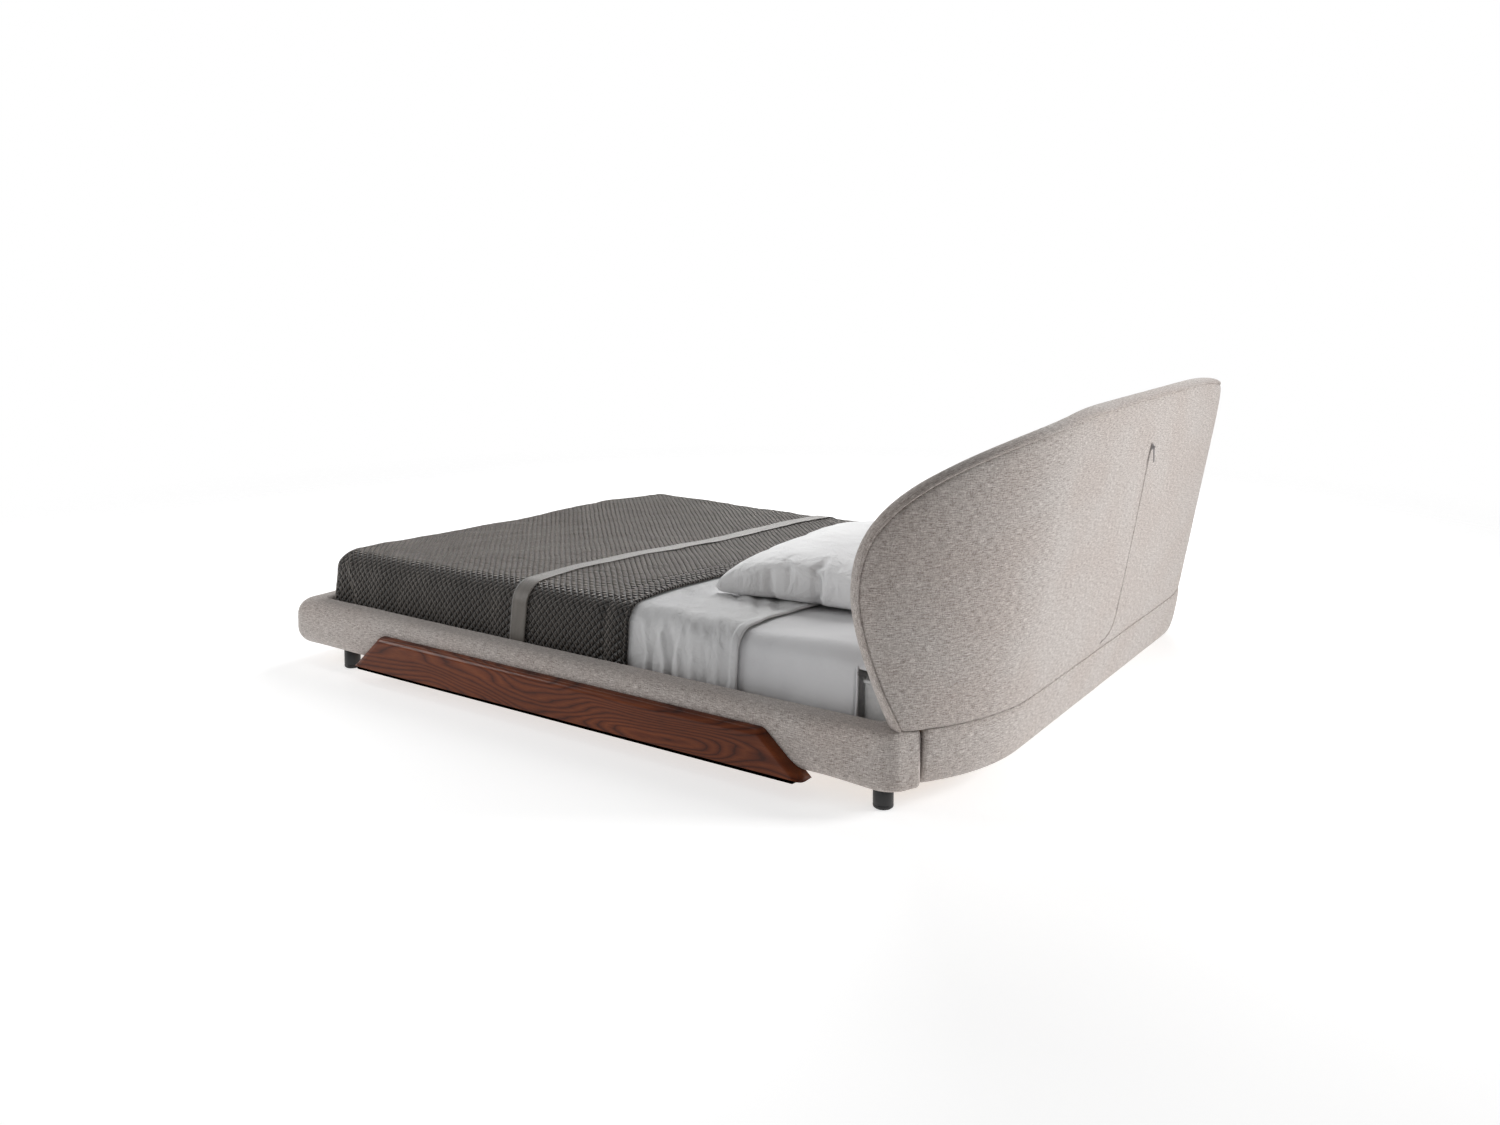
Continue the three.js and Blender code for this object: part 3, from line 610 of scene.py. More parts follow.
def rail_stations():
    """Outer and inner plan points along the right rail, from the headboard to the middle of the foot."""
    face = (np.array([0.9035, 1.0085]), np.array([0.8600, 0.9580]))
    across = unit(face[0] - face[1])
    onward = np.array([-across[1], across[0]])
    r = 0.013
    a = np.radians([90, 75, 60, 45, 30, 15, 0])
    back = onward * (r * (1 - np.sin(a)))[:, None]
    start = face[1] - back[-1]
    t = np.arange(1, 10) / 9
    blend = np.stack([start[0] + (0.902 - start[0]) * smooth(t), start[1] + (0.880 - start[1]) * t], 1)
    out = [face[0] - back, arc(0.913, 0.930, 0.065, 52, 0, 9),
           straight((0.978, 0.930), (0.978, -1.078), 190),
           arc(0.926, -1.078, 0.052, 0, -90, 13)[1:], straight((0.926, -1.130), (0, -1.130), 90)]
    inner = [face[1] - back, blend, straight((0.902, 0.880), (0.902, -1.028), 190),
             arc(0.882, -1.028, 0.020, 0, -90, 13)[1:], straight((0.882, -1.048), (0, -1.048), 90)]
    out, inner = np.concatenate(out), np.concatenate(inner)
    shrink = np.zeros(len(out))
    shrink[:len(a)] = r * (1 - np.cos(a))
    return tuple(np.concatenate([v, v[::-1][1:] * flip])
                 for v, flip in ((out, [-1, 1]), (inner, [-1, 1]), (shrink, 1)))


def rail_ring(width, r_out, r_in, e):
    """Closed section as (distance from the inner face, height)."""
    lo, hi, z0, z1 = e, width - e, RAIL_Z0 + e, RAIL_Z1 - e
    r_out, r_in = max(0.004, r_out - 0.4 * e), max(0.004, r_in - 0.4 * e)
    corners = [arc(hi - r_out, z0 + r_out, r_out, -90, 0, 9), arc(hi - r_out, z1 - r_out, r_out, 0, 90, 9),
               arc(lo + r_in, z1 - r_in, r_in, 90, 180, 6), arc(lo + r_in, z0 + r_in, r_in, 180, 270, 5)]
    ring = []
    for corner, after, n in zip(corners, corners[1:] + corners[:1], (8, 3, 3, 3)):
        ring += [corner, between(corner[-1], after[0], n)[1:]]
    return np.concatenate(ring)


TRIM_Y0, TRIM_Y1, TRIM_LOW = -0.813, 0.751, 0.0436
TRIM_BACK, TRIM_FACE = 0.9555, 1.002
RECESS = 0.9535  # the rail's face behind the boards


def rails():
    out, inner, shrink = rail_stations()
    rows = []
    for o, i, e in zip(out, inner, shrink):
        width = np.linalg.norm(o - i)
        hold = 1 - 0.62 * smooth((o[1] - 0.780) / 0.170)
        ring = rail_ring(width, (0.031 + 0.017 * smooth((-0.45 - o[1]) / 0.60)) * hold, 0.014, e)
        flat = i + (o - i) / width * ring[:, :1]
        rows.append(np.concatenate([flat, ring[:, 1:2]], 1))
    rows = np.array(rows)
    uv = wrapped(walked(out), rows)
    middle = rows.mean(1, keepdims=True)
    soft = fbm(*np.moveaxis(rows * [5, 5, 9], -1, 0), 2)
    rows = rows + (rows - middle) * (soft * 0.010)[..., None]
    # The side boards are let into the padding.
    slant = 1.15 * (rows[..., 2] - TRIM_LOW) + 0.016
    behind = ((np.abs(rows[..., 0]) > RECESS) & (rows[..., 1] > TRIM_Y0 + slant)
              & (rows[..., 1] < TRIM_Y1 - slant) & (rows[..., 2] < 0.132))
    rows[..., 0] = np.where(behind, np.sign(rows[..., 0]) * RECESS, rows[..., 0])
    return grid("rail_cover", rows, uv, FABRIC, closed=True, capped=True,
                stands_for=["rail_upholstery"], slot="upholstery")


rails()


def side_board(name, way, node):
    r, low = 0.018, TRIM_LOW
    right = arc(0.622, 0.120, 0.026, 49.4, 90, 14)
    left = arc(-0.692, 0.120, 0.026, 90, 132.8, 14)
    loop = np.concatenate([
        between((TRIM_Y1, low), right[0], 10), right, between(right[-1], left[0], 120)[1:], left,
        between(left[-1], (TRIM_Y0, low), 10)[1:], between((TRIM_Y0, low), (TRIM_Y1, low), 120)])
    ahead = unit(np.roll(loop, -1, 0) - np.roll(loop, 1, 0))
    inward = np.stack([-ahead[:, 1], ahead[:, 0]], 1)
    bottom = loop[:, 1] < low + 1e-6
    inward[bottom] = [0, 1]
    ends = bottom & (np.abs(loop[:, 0] - np.where(loop[:, 0] > 0, TRIM_Y1, TRIM_Y0)) < 1e-6)
    inward[ends] = np.stack([-0.75 * np.sign(loop[ends, 0]), np.full(ends.sum(), 0.06)], 1)
    amount = np.where(bottom & ~ends, 0.06, 1.0)[:, None]
    places = [(TRIM_BACK, 0)]
    for a in np.radians([0, 8, 18, 28, 38, 48, 58, 68, 78, 86, 90]):
        places.append((TRIM_FACE - r + r * math.sin(a), r * (1 - math.cos(a))))
    places += [(TRIM_FACE, r + 0.0005), (TRIM_FACE, r + 0.003)]
    rows = np.array([np.concatenate([np.full((len(loop), 1), x), loop + inward * amount * inset], 1)
                     for x, inset in places]) * [way, 1, 1]
    uv = np.concatenate([rows, rows[:, :1]], 1)[..., 1:]
    return grid(name, rows, uv, WALNUT, closed=True, capped=True, stands_for=[node], slot="walnut")


side_board("side_board_right", 1, "wood_trim_right")
side_board("side_board_left", -1, "wood_trim_left")


# The foot of a leg: (in from its side, up from the floor).
GLIDE = ((0, 0.012), (0.0004, 0.0112), (0.0008, 0.0105), (0.0004, 0.0098), (0, 0.009), (0, 0.0045),
         (0.0008, 0.0028), (0.003, 0.0024), (0.004, 0.0022), (0.004, 0.0002), (0.0045, 0))


def leg(node):
    """A turned foot with softened rims and a thin felt glide."""
    lo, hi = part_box(node)
    middle, r = (lo + hi) / 2, (hi.x - lo.x) / 2
    profile = [(0, hi.z), (r - 0.002, hi.z), (r, hi.z - 0.002)]
    profile += [(r - inset, lo.z + up) for inset, up in GLIDE] + [(0, lo.z)]
    a = np.linspace(0, 2 * math.pi, 72, endpoint=False)
    rows = np.array([[(middle.x + p * math.cos(t), middle.y + FORWARD + p * math.sin(t), z) for t in a]
                     for p, z in profile])
    uv = np.stack(np.meshgrid(np.linspace(0, 2 * math.pi * r, len(a) + 1), [z for _, z in profile]), -1)
    return grid("foot_" + node, rows, uv, BLACK, closed=True, stands_for=[node], slot="leg_black")


for node in ("leg_front_left", "leg_front_right", "leg_head_left", "leg_head_right"):
    leg(node)


# ------ bed surface

NEAR_EDGE, FAR_EDGE, FOOT_EDGE = 0.828, 0.722, 1.016
NEAR_R, FAR_R, FOOT_R = 0.063, 0.163, 0.030
# Heights of the made bed in mm, at each X_AT across it and each place along it.
X_AT = np.array([-893, -750, -600, -450, -300, 0, 160, 300, 485, 644, 750, 893]) / 1000
TOPS = {
    -1.04: [254, 272, 286, 296, 301, 306, 309, 313, 321, 329, 334, 335],
    -0.62: [250, 266, 279, 287, 292, 303, 311, 319, 329, 337, 340, 340],
    -0.237: [248, 262, 274, 282, 288, 301, 312, 325, 339, 346, 346, 344],
    0.147: [252, 265, 278, 288, 296, 312, 324, 336, 347, 355, 356, 352],
    0.33: [254, 268, 281, 290, 296, 304, 307, 310, 316, 328, 343, 344],
    0.498: [256, 270, 283, 290, 295, 301, 303, 306, 313, 328, 336, 332],
    0.65: [258, 272, 285, 292, 297, 303, 306, 309, 316, 328, 338, 336],
    0.83: [256, 272, 288, 298, 305, 316, 324, 330, 336, 341, 343, 340],
    1.0: [252, 268, 284, 294, 302, 312, 318, 324, 328, 330, 330, 328],
}
# How far the cloths reach past the edges of the top, round the curve and down behind the rails.
HEM_NEAR, HEM_FAR, HEM_FOOT = 0.252, 0.222, 0.185
CELL = 0.01


def top_table():
    """Height of the made bed over a grid of CELL, smoothed."""
    xs, ys = np.arange(-0.95, 0.951, CELL), np.arange(-1.10, 1.051, CELL)
    lines = np.array([np.interp(xs, X_AT, np.array(z) / 1000) for z in TOPS.values()])
    table = np.array([[np.interp(y, list(TOPS), lines[:, i]) for y in ys] for i in range(len(xs))])
    for _ in range(60):
        for axis in (0, 1):
            padded = np.pad(table, [(1, 1) if k == axis else (0, 0) for k in (0, 1)], mode="edge")
            a, b = (np.take(padded, range(s, padded.shape[axis] - 2 + s), axis) for s in (0, 2))
            table = 0.5 * table + 0.25 * (a + b)
    return xs, ys, table


TOP_X, TOP_Y, TOP = top_table()


def top_z(x, y):
    i = np.clip((x - TOP_X[0]) / CELL, 0, len(TOP_X) - 1.001)
    j = np.clip((y - TOP_Y[0]) / CELL, 0, len(TOP_Y) - 1.001)
    a, b = i.astype(int), j.astype(int)
    s, t = i - a, j - b
    return ((TOP[a, b] * (1 - t) + TOP[a, b + 1] * t) * (1 - s)
            + (TOP[a + 1, b] * (1 - t) + TOP[a + 1, b + 1] * t) * s)


def edge_at(a):
    return np.where(a > 0, NEAR_EDGE, FAR_EDGE)


def past_edges(a, b):
    """How far places of a flat cloth lie past the edges of the bed's top, each way."""
    return np.maximum(np.abs(a) - edge_at(a), 0), np.maximum(-FOOT_EDGE - b, 0)


def on_bed(a, b, lift):
    """Point of a cloth laid on the bed: a across it and b along it as it lies flat, lift over the bed."""
    a, b, lift = np.broadcast_arrays(*(np.asarray(v, float) for v in (a, b, lift)))
    over_a, over_b = past_edges(a, b)
    over = np.hypot(over_a, over_b)
    away = np.maximum(over, 1e-9)
    nx, ny = over_a / away, over_b / away
    r = FOOT_R + (np.where(a > 0, NEAR_R, FAR_R) - FOOT_R) * nx ** 2 + lift
    angle = np.minimum(over / np.maximum(r, 0.004), math.pi / 2)
    down = np.maximum(over - r * math.pi / 2, 0)
    x0, y0 = np.clip(a, -FAR_EDGE, NEAR_EDGE), np.maximum(b, -FOOT_EDGE)
    z = top_z(x0, y0) + lift - r * (1 - np.cos(angle)) - down
    reach = r * np.sin(angle) + 0.11 * np.minimum(down, 0.08) * nx - 0.34 * np.maximum(0, 0.186 - z)
    return np.stack([x0 + np.sign(a) * nx * reach, y0 - ny * reach, z], -1)


def mitred(p, is_side):
    """UVs of a foot corner, where each side keeps its own straight pattern up to the fold."""
    past_a, past_b = past_edges(p[..., 0], p[..., 1])
    turn, far = np.arctan2(past_b, past_a) / (math.pi / 2), np.hypot(past_a, past_b)
    way, at = np.sign(p[..., 0]), edge_at(p[..., 0])
    by_side = np.stack([way * (at + far), -FOOT_EDGE - 0.08 * turn], -1)
    by_foot = np.stack([way * (at + 0.08 * (1 - turn)), -FOOT_EDGE - far], -1)
    return np.where(is_side[:, None, None], by_side, by_foot)


def laid(name, a, b, top, thick, material, hole=None, **more):
    """A cloth of two layers joined round its rim. top is a grid of heights over a by b."""
    aa, bb = np.meshgrid(a, b, indexing="ij")
    rim = np.minimum.reduce([aa - a[0], a[-1] - aa, bb - b[0], b[-1] - bb])
    inside = np.clip(rim / (thick * 0.7), 0, 1)
    edge = thick / 2 * (1 - np.sqrt(1 - (1 - inside) ** 2))
    upper, under = on_bed(aa, bb, top - edge), on_bed(aa, bb, top - thick + edge)
    n, m = aa.shape
    faces, places = quads(n, m)
    flat = np.stack([aa, bb], -1)
    centre = flat.reshape(-1, 2)[faces].mean(1)
    over_a, over_b = past_edges(*centre.T)
    over = np.hypot(over_a, over_b)
    hem_side = np.where(centre[:, 0] > 0, HEM_NEAR, HEM_FAR)
    keep = over < HEM_FOOT + (hem_side - HEM_FOOT) * (over_a / np.maximum(over, 1e-9)) ** 2
    if hole:
        keep &= ~hole(*centre.T)
    uv = np.stack([flat[p] for p in places], 1)
    corner = (over_a > 0) & (over_b > 0)
    uv[corner] = mitred(uv[corner], (over_a >= over_b)[corner])
    faces, uv = faces[keep], uv[keep]
    edges = {e: True for f in faces.tolist() for e in zip(f, f[1:] + f[:1])}
    rim = [(p, q) for p, q in edges if (q, p) not in edges]
    below = n * m
    every = faces.tolist() + (faces[:, ::-1] + below).tolist()
    every += [[p, q, q + below, p + below] for p, q in rim]
    flat = flat.reshape(-1, 2)
    rim_uv = np.array([[flat[p], flat[q], flat[q] + thick, flat[p] + thick] for p, q in rim])
    corner_uv = np.concatenate([v.reshape(-1, 2) for v in (uv, uv[:, ::-1], rim_uv)])
    points = np.concatenate([upper.reshape(-1, 3), under.reshape(-1, 3)])
    return make(name, points, every, corner_uv, material, **more)


def steps(*parts):
    """Values from start to stop in pieces of about a step: (start, stop, step), ..."""
    out = []
    for start, stop, step in parts:
        n = max(1, round(abs(stop - start) / step))
        out += np.linspace(start, stop, n + 1)[:-1].tolist()
    return np.array(out + [parts[-1][1]])


def noise_on(a, b, ka, kb, seed, octaves=3):
    return fbm(a[:, None] * ka, b * kb, seed, octaves)


def swell(a, b):
    return 0.0042 * noise_on(a, b, 3.4, 4.6, 3.0)


def hang(a, b):
    """Slow waves of the drops at the sides."""
    return 0.0045 * noise_on(a, b, 1.0, 9.0, 5.0, 2) * smooth((np.abs(a[:, None]) - 0.80) / 0.12)


def quilted_coverlet():
    """A quilted cloth, with a thick bound edge towards the pillows."""
    a = steps((-FAR_EDGE - HEM_FAR, FAR_EDGE * -0.85, 0.010), (FAR_EDGE * -0.85, 0.70, 0.014),
              (0.70, NEAR_EDGE + HEM_NEAR, 0.0085))
    b = steps((-FOOT_EDGE - HEM_FOOT, -FOOT_EDGE + 0.03, 0.0085), (-FOOT_EDGE + 0.03, 0.05, 0.0125),
              (0.05, 0.138, 0.006), (0.138, 0.147, 0.0015))
    aa, bb = np.meshgrid(a, b, indexing="ij")
    ridge = 0.0045 * bell(b, 0.100, 0.020) - 0.0030 * bell(b, 0.066, 0.007) - 0.0020 * bell(b, 0.132, 0.004)
    # Tucked fold at the near foot corner: the side lies over the turned-in end along a slanting line.
    fold_at = -1.006 + 0.092 * np.clip((aa - NEAR_EDGE) / 0.19, 0, 1)
    side = smooth((aa - 0.80) / 0.05)
    tuck = -0.0085 * smooth((fold_at - bb + 0.004) / 0.008) * side
    tuck += 0.0035 * np.exp(-np.clip(bb - fold_at, 0, 1) / 0.022) * side * (bb > fold_at)
    lift = swell(a, b) + 0.0018 * noise_on(a, b, 11, 16, 8.0) + hang(a, b) + ridge + tuck
    return laid("coverlet_quilted", a, b, lift, 0.0095, QUILT, stands_for=["coverlet"], slot="coverlet")


def satin_ribbon():
    """A band across the coverlet, a little thicker along its selvedges."""
    a = steps((-FAR_EDGE - HEM_FAR + 0.01, NEAR_EDGE + HEM_NEAR - 0.004, 0.010))
    b = steps((-0.265, -0.209, 0.004))
    selvedge = 0.0008 * bell(np.abs(b + 0.237), 0.0255, 0.0016)
    return laid("coverlet_ribbon", a, b, swell(a, b) + hang(a, b) + 0.0042 + selvedge, 0.0016, SATIN,
                stands_for=["coverlet_band"], slot="ribbon")


def over_bed(step):
    """Places right across the bed, a step apart on its near side."""
    return steps((-FAR_EDGE - HEM_FAR, FAR_EDGE * -0.8, 0.016), (FAR_EDGE * -0.8, 0.55, 0.022),
                 (0.55, NEAR_EDGE + HEM_NEAR, step))


FOLD_B = 0.498
# Creases of the top sheet's drop: place along the bed, lean, width and depth.
CREASES = (
    (0.205, 0.10, 0.0075, 0.00578), (0.232, -0.08, 0.006, -0.00374), (0.262, 0.14, 0.009, 0.00884),
    (0.291, 0.04, 0.006, -0.00510), (0.318, -0.06, 0.008, 0.00612), (0.356, 0.12, 0.010, 0.00442),
    (0.402, -0.02, 0.007, -0.00306), (0.437, 0.05, 0.009, 0.00408))


def turned_back_sheet():
    """The top sheet, turned back before the pillows with a rolled hem."""
    a = over_bed(0.0072)
    b = steps((-0.90, 0.06, 0.03), (0.06, 0.470, 0.0066), (0.470, FOLD_B - 0.004, 0.003),
              (FOLD_B - 0.004, FOLD_B, 0.001))
    aa, bb = np.meshgrid(a, b, indexing="ij")
    crease = 0.0
    for at, lean, width, deep in CREASES:
        centre = at + lean * (aa - 0.94) + 0.004 * np.sin(aa * 60 + at * 90)
        crease = crease + deep * bell(bb, centre, width)
    drag = fbm((aa * 0.80 + bb * 0.60) * 3.2, (bb * 0.80 - aa * 0.60) * 17, 2)
    drag = np.sign(drag) * np.abs(drag) ** 0.8
    on_top = smooth((aa - 0.30) / 0.25) * (1 - smooth((aa - 0.90) / 0.08)) * smooth((bb - 0.15) / 0.04)
    on_top = on_top * (1 - 0.75 * smooth((bb - 0.43) / 0.06))
    soft = 0.003 * noise_on(a, b, 4, 5, 11.0)
    lift = -0.0112 * (1 - smooth((bb - 0.155) / 0.20)) + soft * smooth((bb - 0.16) / 0.05)
    lift = lift + crease * smooth((aa - NEAR_EDGE - 0.02) / 0.10) * smooth((bb - 0.15) / 0.05)
    lift = lift + 0.0072 * drag * on_top + 0.0034 * smooth((bb - FOLD_B + 0.026) / 0.007)
    return laid("top_sheet_white", a, b, lift, 0.0085, WHITE, stands_for=["top_sheet"], slot="linen")


HEM_B = 0.832


def stretched_sheet():
    """The fitted sheet, its near side turned back beside the headboard with a corded hem."""
    a = over_bed(0.0075)
    b = steps((-1.0, 0.44, 0.04), (0.44, 0.955, 0.0095))
    aa, bb = np.meshgrid(a, b, indexing="ij")
    soft = 0.0020 * noise_on(a, b, 5, 6, 21.0)
    soft = soft + 0.0012 * noise_on(a, b, 3, 22, 4.0) * smooth((aa - 0.82) / 0.1)
    lift = -0.0205 + 0.0105 * smooth((bb - 0.44) / 0.04) + 0.008 * smooth((bb - 0.56) / 0.2)
    lift = lift + soft * smooth((bb - 0.46) / 0.05)
    lift = lift + 0.0016 * bell(aa - NEAR_EDGE, 0.064, 0.005) * smooth((bb - 0.60) / 0.12)
    body = laid("fitted_sheet_white", a, b, lift, 0.0022, SHEET, stands_for=["fitted_sheet"], slot="linen",
                hole=lambda a, b: (a > NEAR_EDGE + 0.072 + 0.10 * np.clip(0.86 - b, 0, 1)) & (b > HEM_B))
    hem_a = np.linspace(NEAR_EDGE + 0.070, NEAR_EDGE + HEM_NEAR, 26)
    line = on_bed(hem_a, HEM_B + 0.004 * np.sin(np.linspace(0, 3, 26)), -0.0005)
    return body, tube("fitted_sheet_hem", line, 0.0030, SHEET, slot="linen")


coverlet = quilted_coverlet()
ribbon = satin_ribbon()
top_sheet = turned_back_sheet()
fitted, hem_piece = stretched_sheet()


def settled(p):
    """Points of the mattress kept under the cloths, all round and inside the softened far shoulder."""
    x, y, z = np.moveaxis(p, -1, 0)
    z = np.minimum(z, top_z(x, y) - 0.028)
    # Beside the headboard the mattress comes right up to the turned-back sheet.
    under = 0.034 - 0.031 * smooth((y - 0.835) / 0.02)
    for way, edge, r in ((1, NEAR_EDGE, NEAR_R), (-1, FAR_EDGE, FAR_R)):
        high = np.clip(z - top_z(np.full(z.shape, way * edge), y) + r, 0, r)
        reach = edge + np.sqrt(r ** 2 - high ** 2) - (under if way > 0 else 0.034)
        x = way * np.minimum(way * x, reach)
    y = np.maximum(y, 0.034 - FOOT_R - FOOT_EDGE)
    return np.stack([x, y, z], -1)


UNDERSIDE, DEPTH = 0.0955, 0.190
SEAM_AT, SEAM_GAP = 0.014, 0.162  # piped rims: height of the lower one, and on to the upper


def mattress():
    """A mattress with a quilted side between two piped rims."""
    corner = []
    for cx, cy, r, a0, a1 in ((0.830, 0.907, 0.055, 0, 90), (-0.785, 0.862, 0.100, 90, 180),
                              (-0.857, -0.998, 0.028, 180, 270), (0.857, -0.998, 0.028, 270, 360)):
        corner += arc(cx, cy, r, a0, a1, 16).tolist()
    loop = spaced(corner + corner[:1], 640)[:-1]
    ahead = unit(np.roll(loop, -1, 0) - np.roll(loop, 1, 0))
    outward = np.stack([ahead[:, 1], -ahead[:, 0]], 1)
    rise = 0.012 * loop[:, 0] / 0.885 - 0.014
    profile = [(0.0, -0.12), (0.001, -0.05), (0.005, -0.018), (SEAM_AT, -0.006)]
    profile += [(SEAM_AT + SEAM_GAP * t, -0.002 - 0.004 * math.cos(t * 2 * math.pi))
                for t in np.linspace(0.05, 0.95, 12)]
    profile += [(SEAM_AT + SEAM_GAP, -0.006), (0.186, -0.018), (DEPTH, -0.05), (DEPTH, -0.12)]
    profile = [(0.0, None)] + profile + [(DEPTH, None)]
    rows = []
    for h, d in profile:
        flat = loop * 0.3 if d is None else loop + outward * d
        rows.append(np.concatenate([flat, (UNDERSIDE + h + rise * h / DEPTH)[:, None]], 1))
    rows = settled(np.array(rows))
    step = walked(np.concatenate([loop, loop[:1]]))
    uv = np.stack(np.meshgrid(step, [h for h, _ in profile]), -1)
    body = grid("mattress_body", rows, uv, TICKING, closed=True, capped=True,
                stands_for=["mattress"], slot="ticking")
    for name, share in (("mattress_piping_top", 1), ("mattress_piping_bottom", 0)):
        z = UNDERSIDE + SEAM_AT + SEAM_GAP * share + rise * share
        path = settled(np.concatenate([loop - outward * 0.004, z[:, None]], 1))
        path = spaced(np.concatenate([path, path[:1]]), len(loop))
        tube(name, path, 0.0045, TICKING, slot="ticking")


mattress()


# ------ pillows

FRAMES = 40


def blown_pillow(width, length):
    """A stitched pillowcase filled by cloth simulation, centred on its seam, as points, faces and UVs."""
    nx, ny = 84, 60
    x, y = np.meshgrid(np.linspace(-1, 1, nx + 1), np.linspace(-1, 1, ny + 1), indexing="ij")
    thin = 0.012 * ((1 - x ** 2) * (1 - y ** 2)) ** 0.5
    jitter = 0.0016 * fbm(x * 5, y * 5, 0)
    flat = np.stack([x * width / 2, y * length / 2], -1)
    layers = [np.concatenate([flat, (side * thin + jitter * (thin > 0))[..., None]], -1).reshape(-1, 3)
              for side in (1, -1)]
    faces, places = quads(nx + 1, ny + 1)
    every = faces.tolist() + (faces[:, ::-1] + len(layers[0])).tolist()
    uv = np.stack([flat[p] for p in places], 1)
    mesh = mesh_of("pillow_case", np.concatenate(layers), every, np.concatenate([uv, uv[:, ::-1]]))
    merge(mesh, 1e-6)
    case = shown("pillow_case", mesh)
    cloth = case.modifiers.new("Cloth", "CLOTH")
    s = cloth.settings
    s.quality, s.mass, s.air_damping = 5, 0.25, 2.0
    s.tension_stiffness = s.compression_stiffness = 22
    s.shear_stiffness, s.bending_stiffness = 6, 0.12
    s.use_pressure, s.uniform_pressure_force = True, 8.0
    s.effector_weights.gravity = 0
    cloth.collision_settings.use_collision = False
    cloth.point_cache.frame_start, cloth.point_cache.frame_end = 1, FRAMES
    scene = bpy.context.scene
    for n in range(1, FRAMES + 1):
        scene.frame_set(n)
    done = case.evaluated_get(bpy.context.evaluated_depsgraph_get())
    result = bpy.data.meshes.new_from_object(done)
    bpy.data.objects.remove(case)
    scene.frame_set(1)
    return result


CASE = blown_pillow(0.80, 0.575)


def pillow(name, centre, turn, size, rise, sink, node, flip=1):
    """One filled case laid on the bed: rise above its seam and sink below it, corners hanging."""
    mesh = CASE.copy()
    p = np.zeros(len(mesh.vertices) * 3)
    mesh.vertices.foreach_get("co", p)
    p = p.reshape(-1, 3)
    x, y, z = (2 * p / (p.max(0) - p.min(0))).T
    up = np.where(z > 0, rise * np.abs(z) ** 0.64, -sink * np.abs(z) ** 0.46)
    up = up - np.where(y < 0, 0.042, 0.020) * (np.abs(x) * np.abs(y)) ** 2.4
    for k, (cx, cy) in enumerate(((1, 1), (1, -1), (-1, 1), (-1, -1))):
        far, turn_at = np.hypot(x - cx, y - cy), np.arctan2(y - cy, x - cx)
        gather = fbm(turn_at * 6.5, far * 1.6, 9 * k)
        up = up + np.sign(z) * 0.0046 * gather * bell(far, 0, 0.75) * smooth(far / 0.15)
    x, y = x * flip * size[0] / 2, y * size[1] / 2
    c, s = math.cos(turn), math.sin(turn)
    x, y = centre[0] + c * x - s * y, centre[1] + s * x + c * y
    low = top_z(x, y) + 0.0015
    gap = centre[2] + up - low
    z = low + np.where(gap > 0.006, gap, 0.006 * np.exp(np.minimum(gap / 0.006 - 1, 0)))
    p = np.stack([x, y - FORWARD, z], 1)
    mesh.vertices.foreach_set("co", p.ravel())
    mesh.polygons.foreach_set("use_smooth", [True] * len(mesh.polygons))
    mesh.materials.clear()
    mesh.materials.append(PILLOWCASE)
    mesh.update()
    piece = shown(name, mesh)
    if flip < 0:
        mesh.flip_normals()
    finer = piece.modifiers.new("finer", "SUBSURF")
    finer.levels = finer.render_levels = 1
    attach(piece, BED)
    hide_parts(node)


pillow("pillow_near", (0.258, 0.476, 0.393), 0.05, (0.735, 0.512), 0.066, 0.088, "pillow_right")
pillow("pillow_far", (-0.490, 0.600, 0.352), -0.04, (0.705, 0.485), 0.062, 0.078, "pillow_left", -1)

# ------ finishes of the CAD nodes kept

KEPT = (("zip_teeth", TEETH), ("zip_", ZIP_METAL), ("headboard_plate", STEEL), ("headboard_bolt", STEEL),
        ("leg_stud", STEEL), ("headboard_core", PLY), ("headboard_base_core", PLY), ("centre_leg", BLACK))
for name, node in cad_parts.items():
    node.data.materials.clear()
    node.data.materials.append(next((m for start, m in KEPT if name.startswith(start)), BEECH))

# ------ studio

def stage_floor():
    """A round pale floor that fades into the background at its rim."""
    f = Finish("studio_floor", Roughness=0.9, Specular_IOR_Level=0.0, Base_Color=(0.62, 0.62, 0.62, 1),
               Emission_Color=(1, 1, 1, 1), Emission_Strength=0.60)
    out = f.tree.nodes["Material Output"]
    away = f.node("ShaderNodeVectorMath", {0: f.body(1, 1, 1)}, operation="LENGTH").outputs["Value"]
    fade = f.node("ShaderNodeMapRange", {"Value": away, 1: 2.6, 2: 4.6}, interpolation_type="SMOOTHSTEP")
    clear = f.node("ShaderNodeBsdfTransparent")
    both = f.node("ShaderNodeMixShader", {0: fade.outputs[0]})
    f.tree.links.new(f.shader.outputs[0], both.inputs[1])
    f.tree.links.new(clear.outputs[0], both.inputs[2])
    f.tree.links.new(both.outputs[0], out.inputs[0])
    far, n = 4.7, 96
    rim = [(far * math.cos(2 * math.pi * i / n), far * math.sin(2 * math.pi * i / n), 0) for i in range(n)]
    mesh = bpy.data.meshes.new("studio_floor")
    mesh.from_pydata(rim, [], [list(range(n))])
    mesh.materials.append(f.material)
    floor = shown("studio_floor", mesh)


stage_floor()


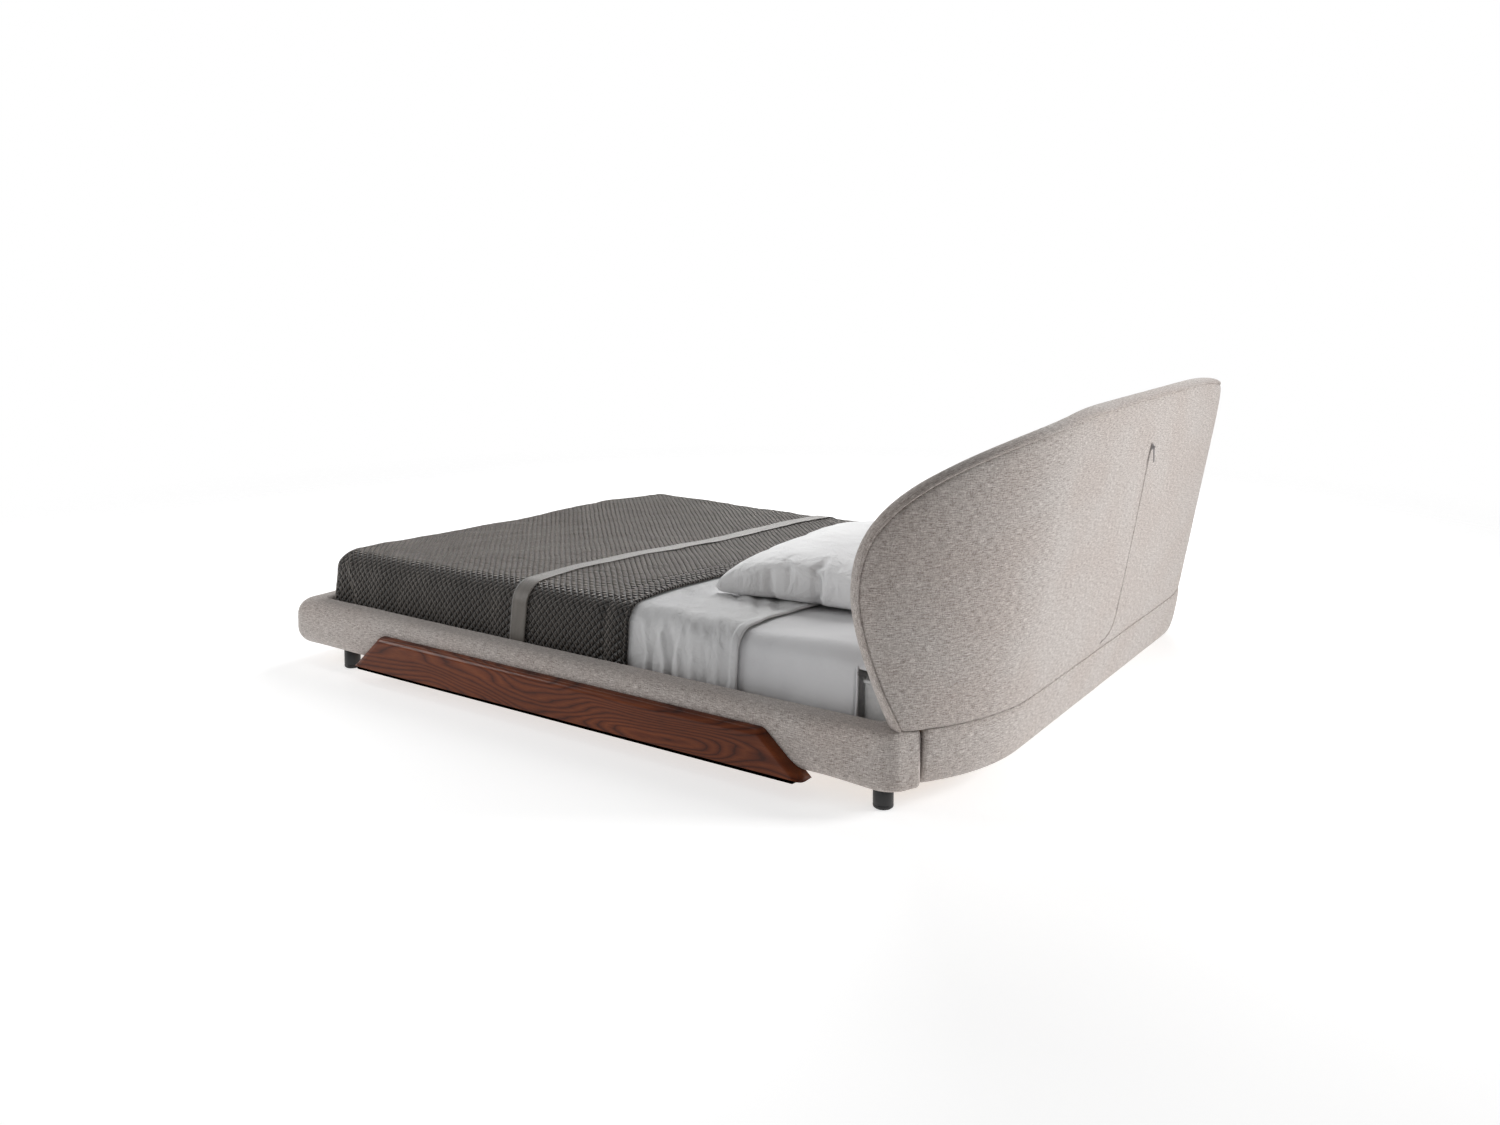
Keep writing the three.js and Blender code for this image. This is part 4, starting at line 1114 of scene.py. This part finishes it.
def area_light(name, place, aim, size, power, spread=180):
    data = bpy.data.lights.new(name, "AREA")
    data.spread = math.radians(spread)
    data.shape, data.size, data.size_y, data.energy = "RECTANGLE", size[0], size[1], power
    lamp = shown(name, data)
    lamp.location = place
    lamp.rotation_euler = (Vector(aim) - Vector(place)).to_track_quat("-Z", "Y").to_euler()


area_light("over_bed", (-2.4, -0.8, 2.7), (-0.2, 0, 0.3), (2.4, 2.8), 128)
area_light("side_strip", (0.95, -2.1, 2.5), (1.0, -0.4, 0.1), (0.36, 3.0), 9)
area_light("foot_side", (3.2, -4.0, 1.9), (0.7, -0.7, 0.1), (2.2, 1.8), 72)
area_light("behind_head", (-1.7, 4.2, 2.0), (0.45, 1.1, 0.5), (1.4, 1.4), 21, 62)

FILL = 0.23  # light from all round, under the white that the camera sees
world = bpy.data.worlds.new("studio")
world.use_nodes = True
bpy.context.scene.world = world
tree = world.node_tree
tree.nodes.clear()
rays, either, out = (tree.nodes.new("ShaderNode" + k) for k in ("LightPath", "MixShader", "OutputWorld"))
tree.links.new(rays.outputs["Is Camera Ray"], either.inputs[0])
for socket, strength in ((1, FILL), (2, 1.0)):
    white = tree.nodes.new("ShaderNodeBackground")
    white.inputs[0].default_value, white.inputs[1].default_value = (1, 1, 1, 1), strength
    tree.links.new(white.outputs[0], either.inputs[socket])
tree.links.new(either.outputs[0], out.inputs[0])

bpy.context.scene.view_settings.view_transform = "Standard"

camera_data = bpy.data.cameras.new("camera")
camera_data.sensor_width = 36.0
camera_data.lens = 1317.2 / 1500 * 36.0
camera_data.shift_x, camera_data.shift_y = -0.0002, -0.15
camera = shown("camera", camera_data)
camera.location = (3.5163, 2.2492, 1.2543)
PITCH, HEADING = 0.0618, math.atan2(-0.5607, -0.828) - 0.0001
look = Vector((math.cos(HEADING) * math.cos(PITCH), math.sin(HEADING) * math.cos(PITCH), -math.sin(PITCH)))
camera.rotation_euler = look.to_track_quat("-Z", "Y").to_euler()
bpy.context.scene.camera = camera
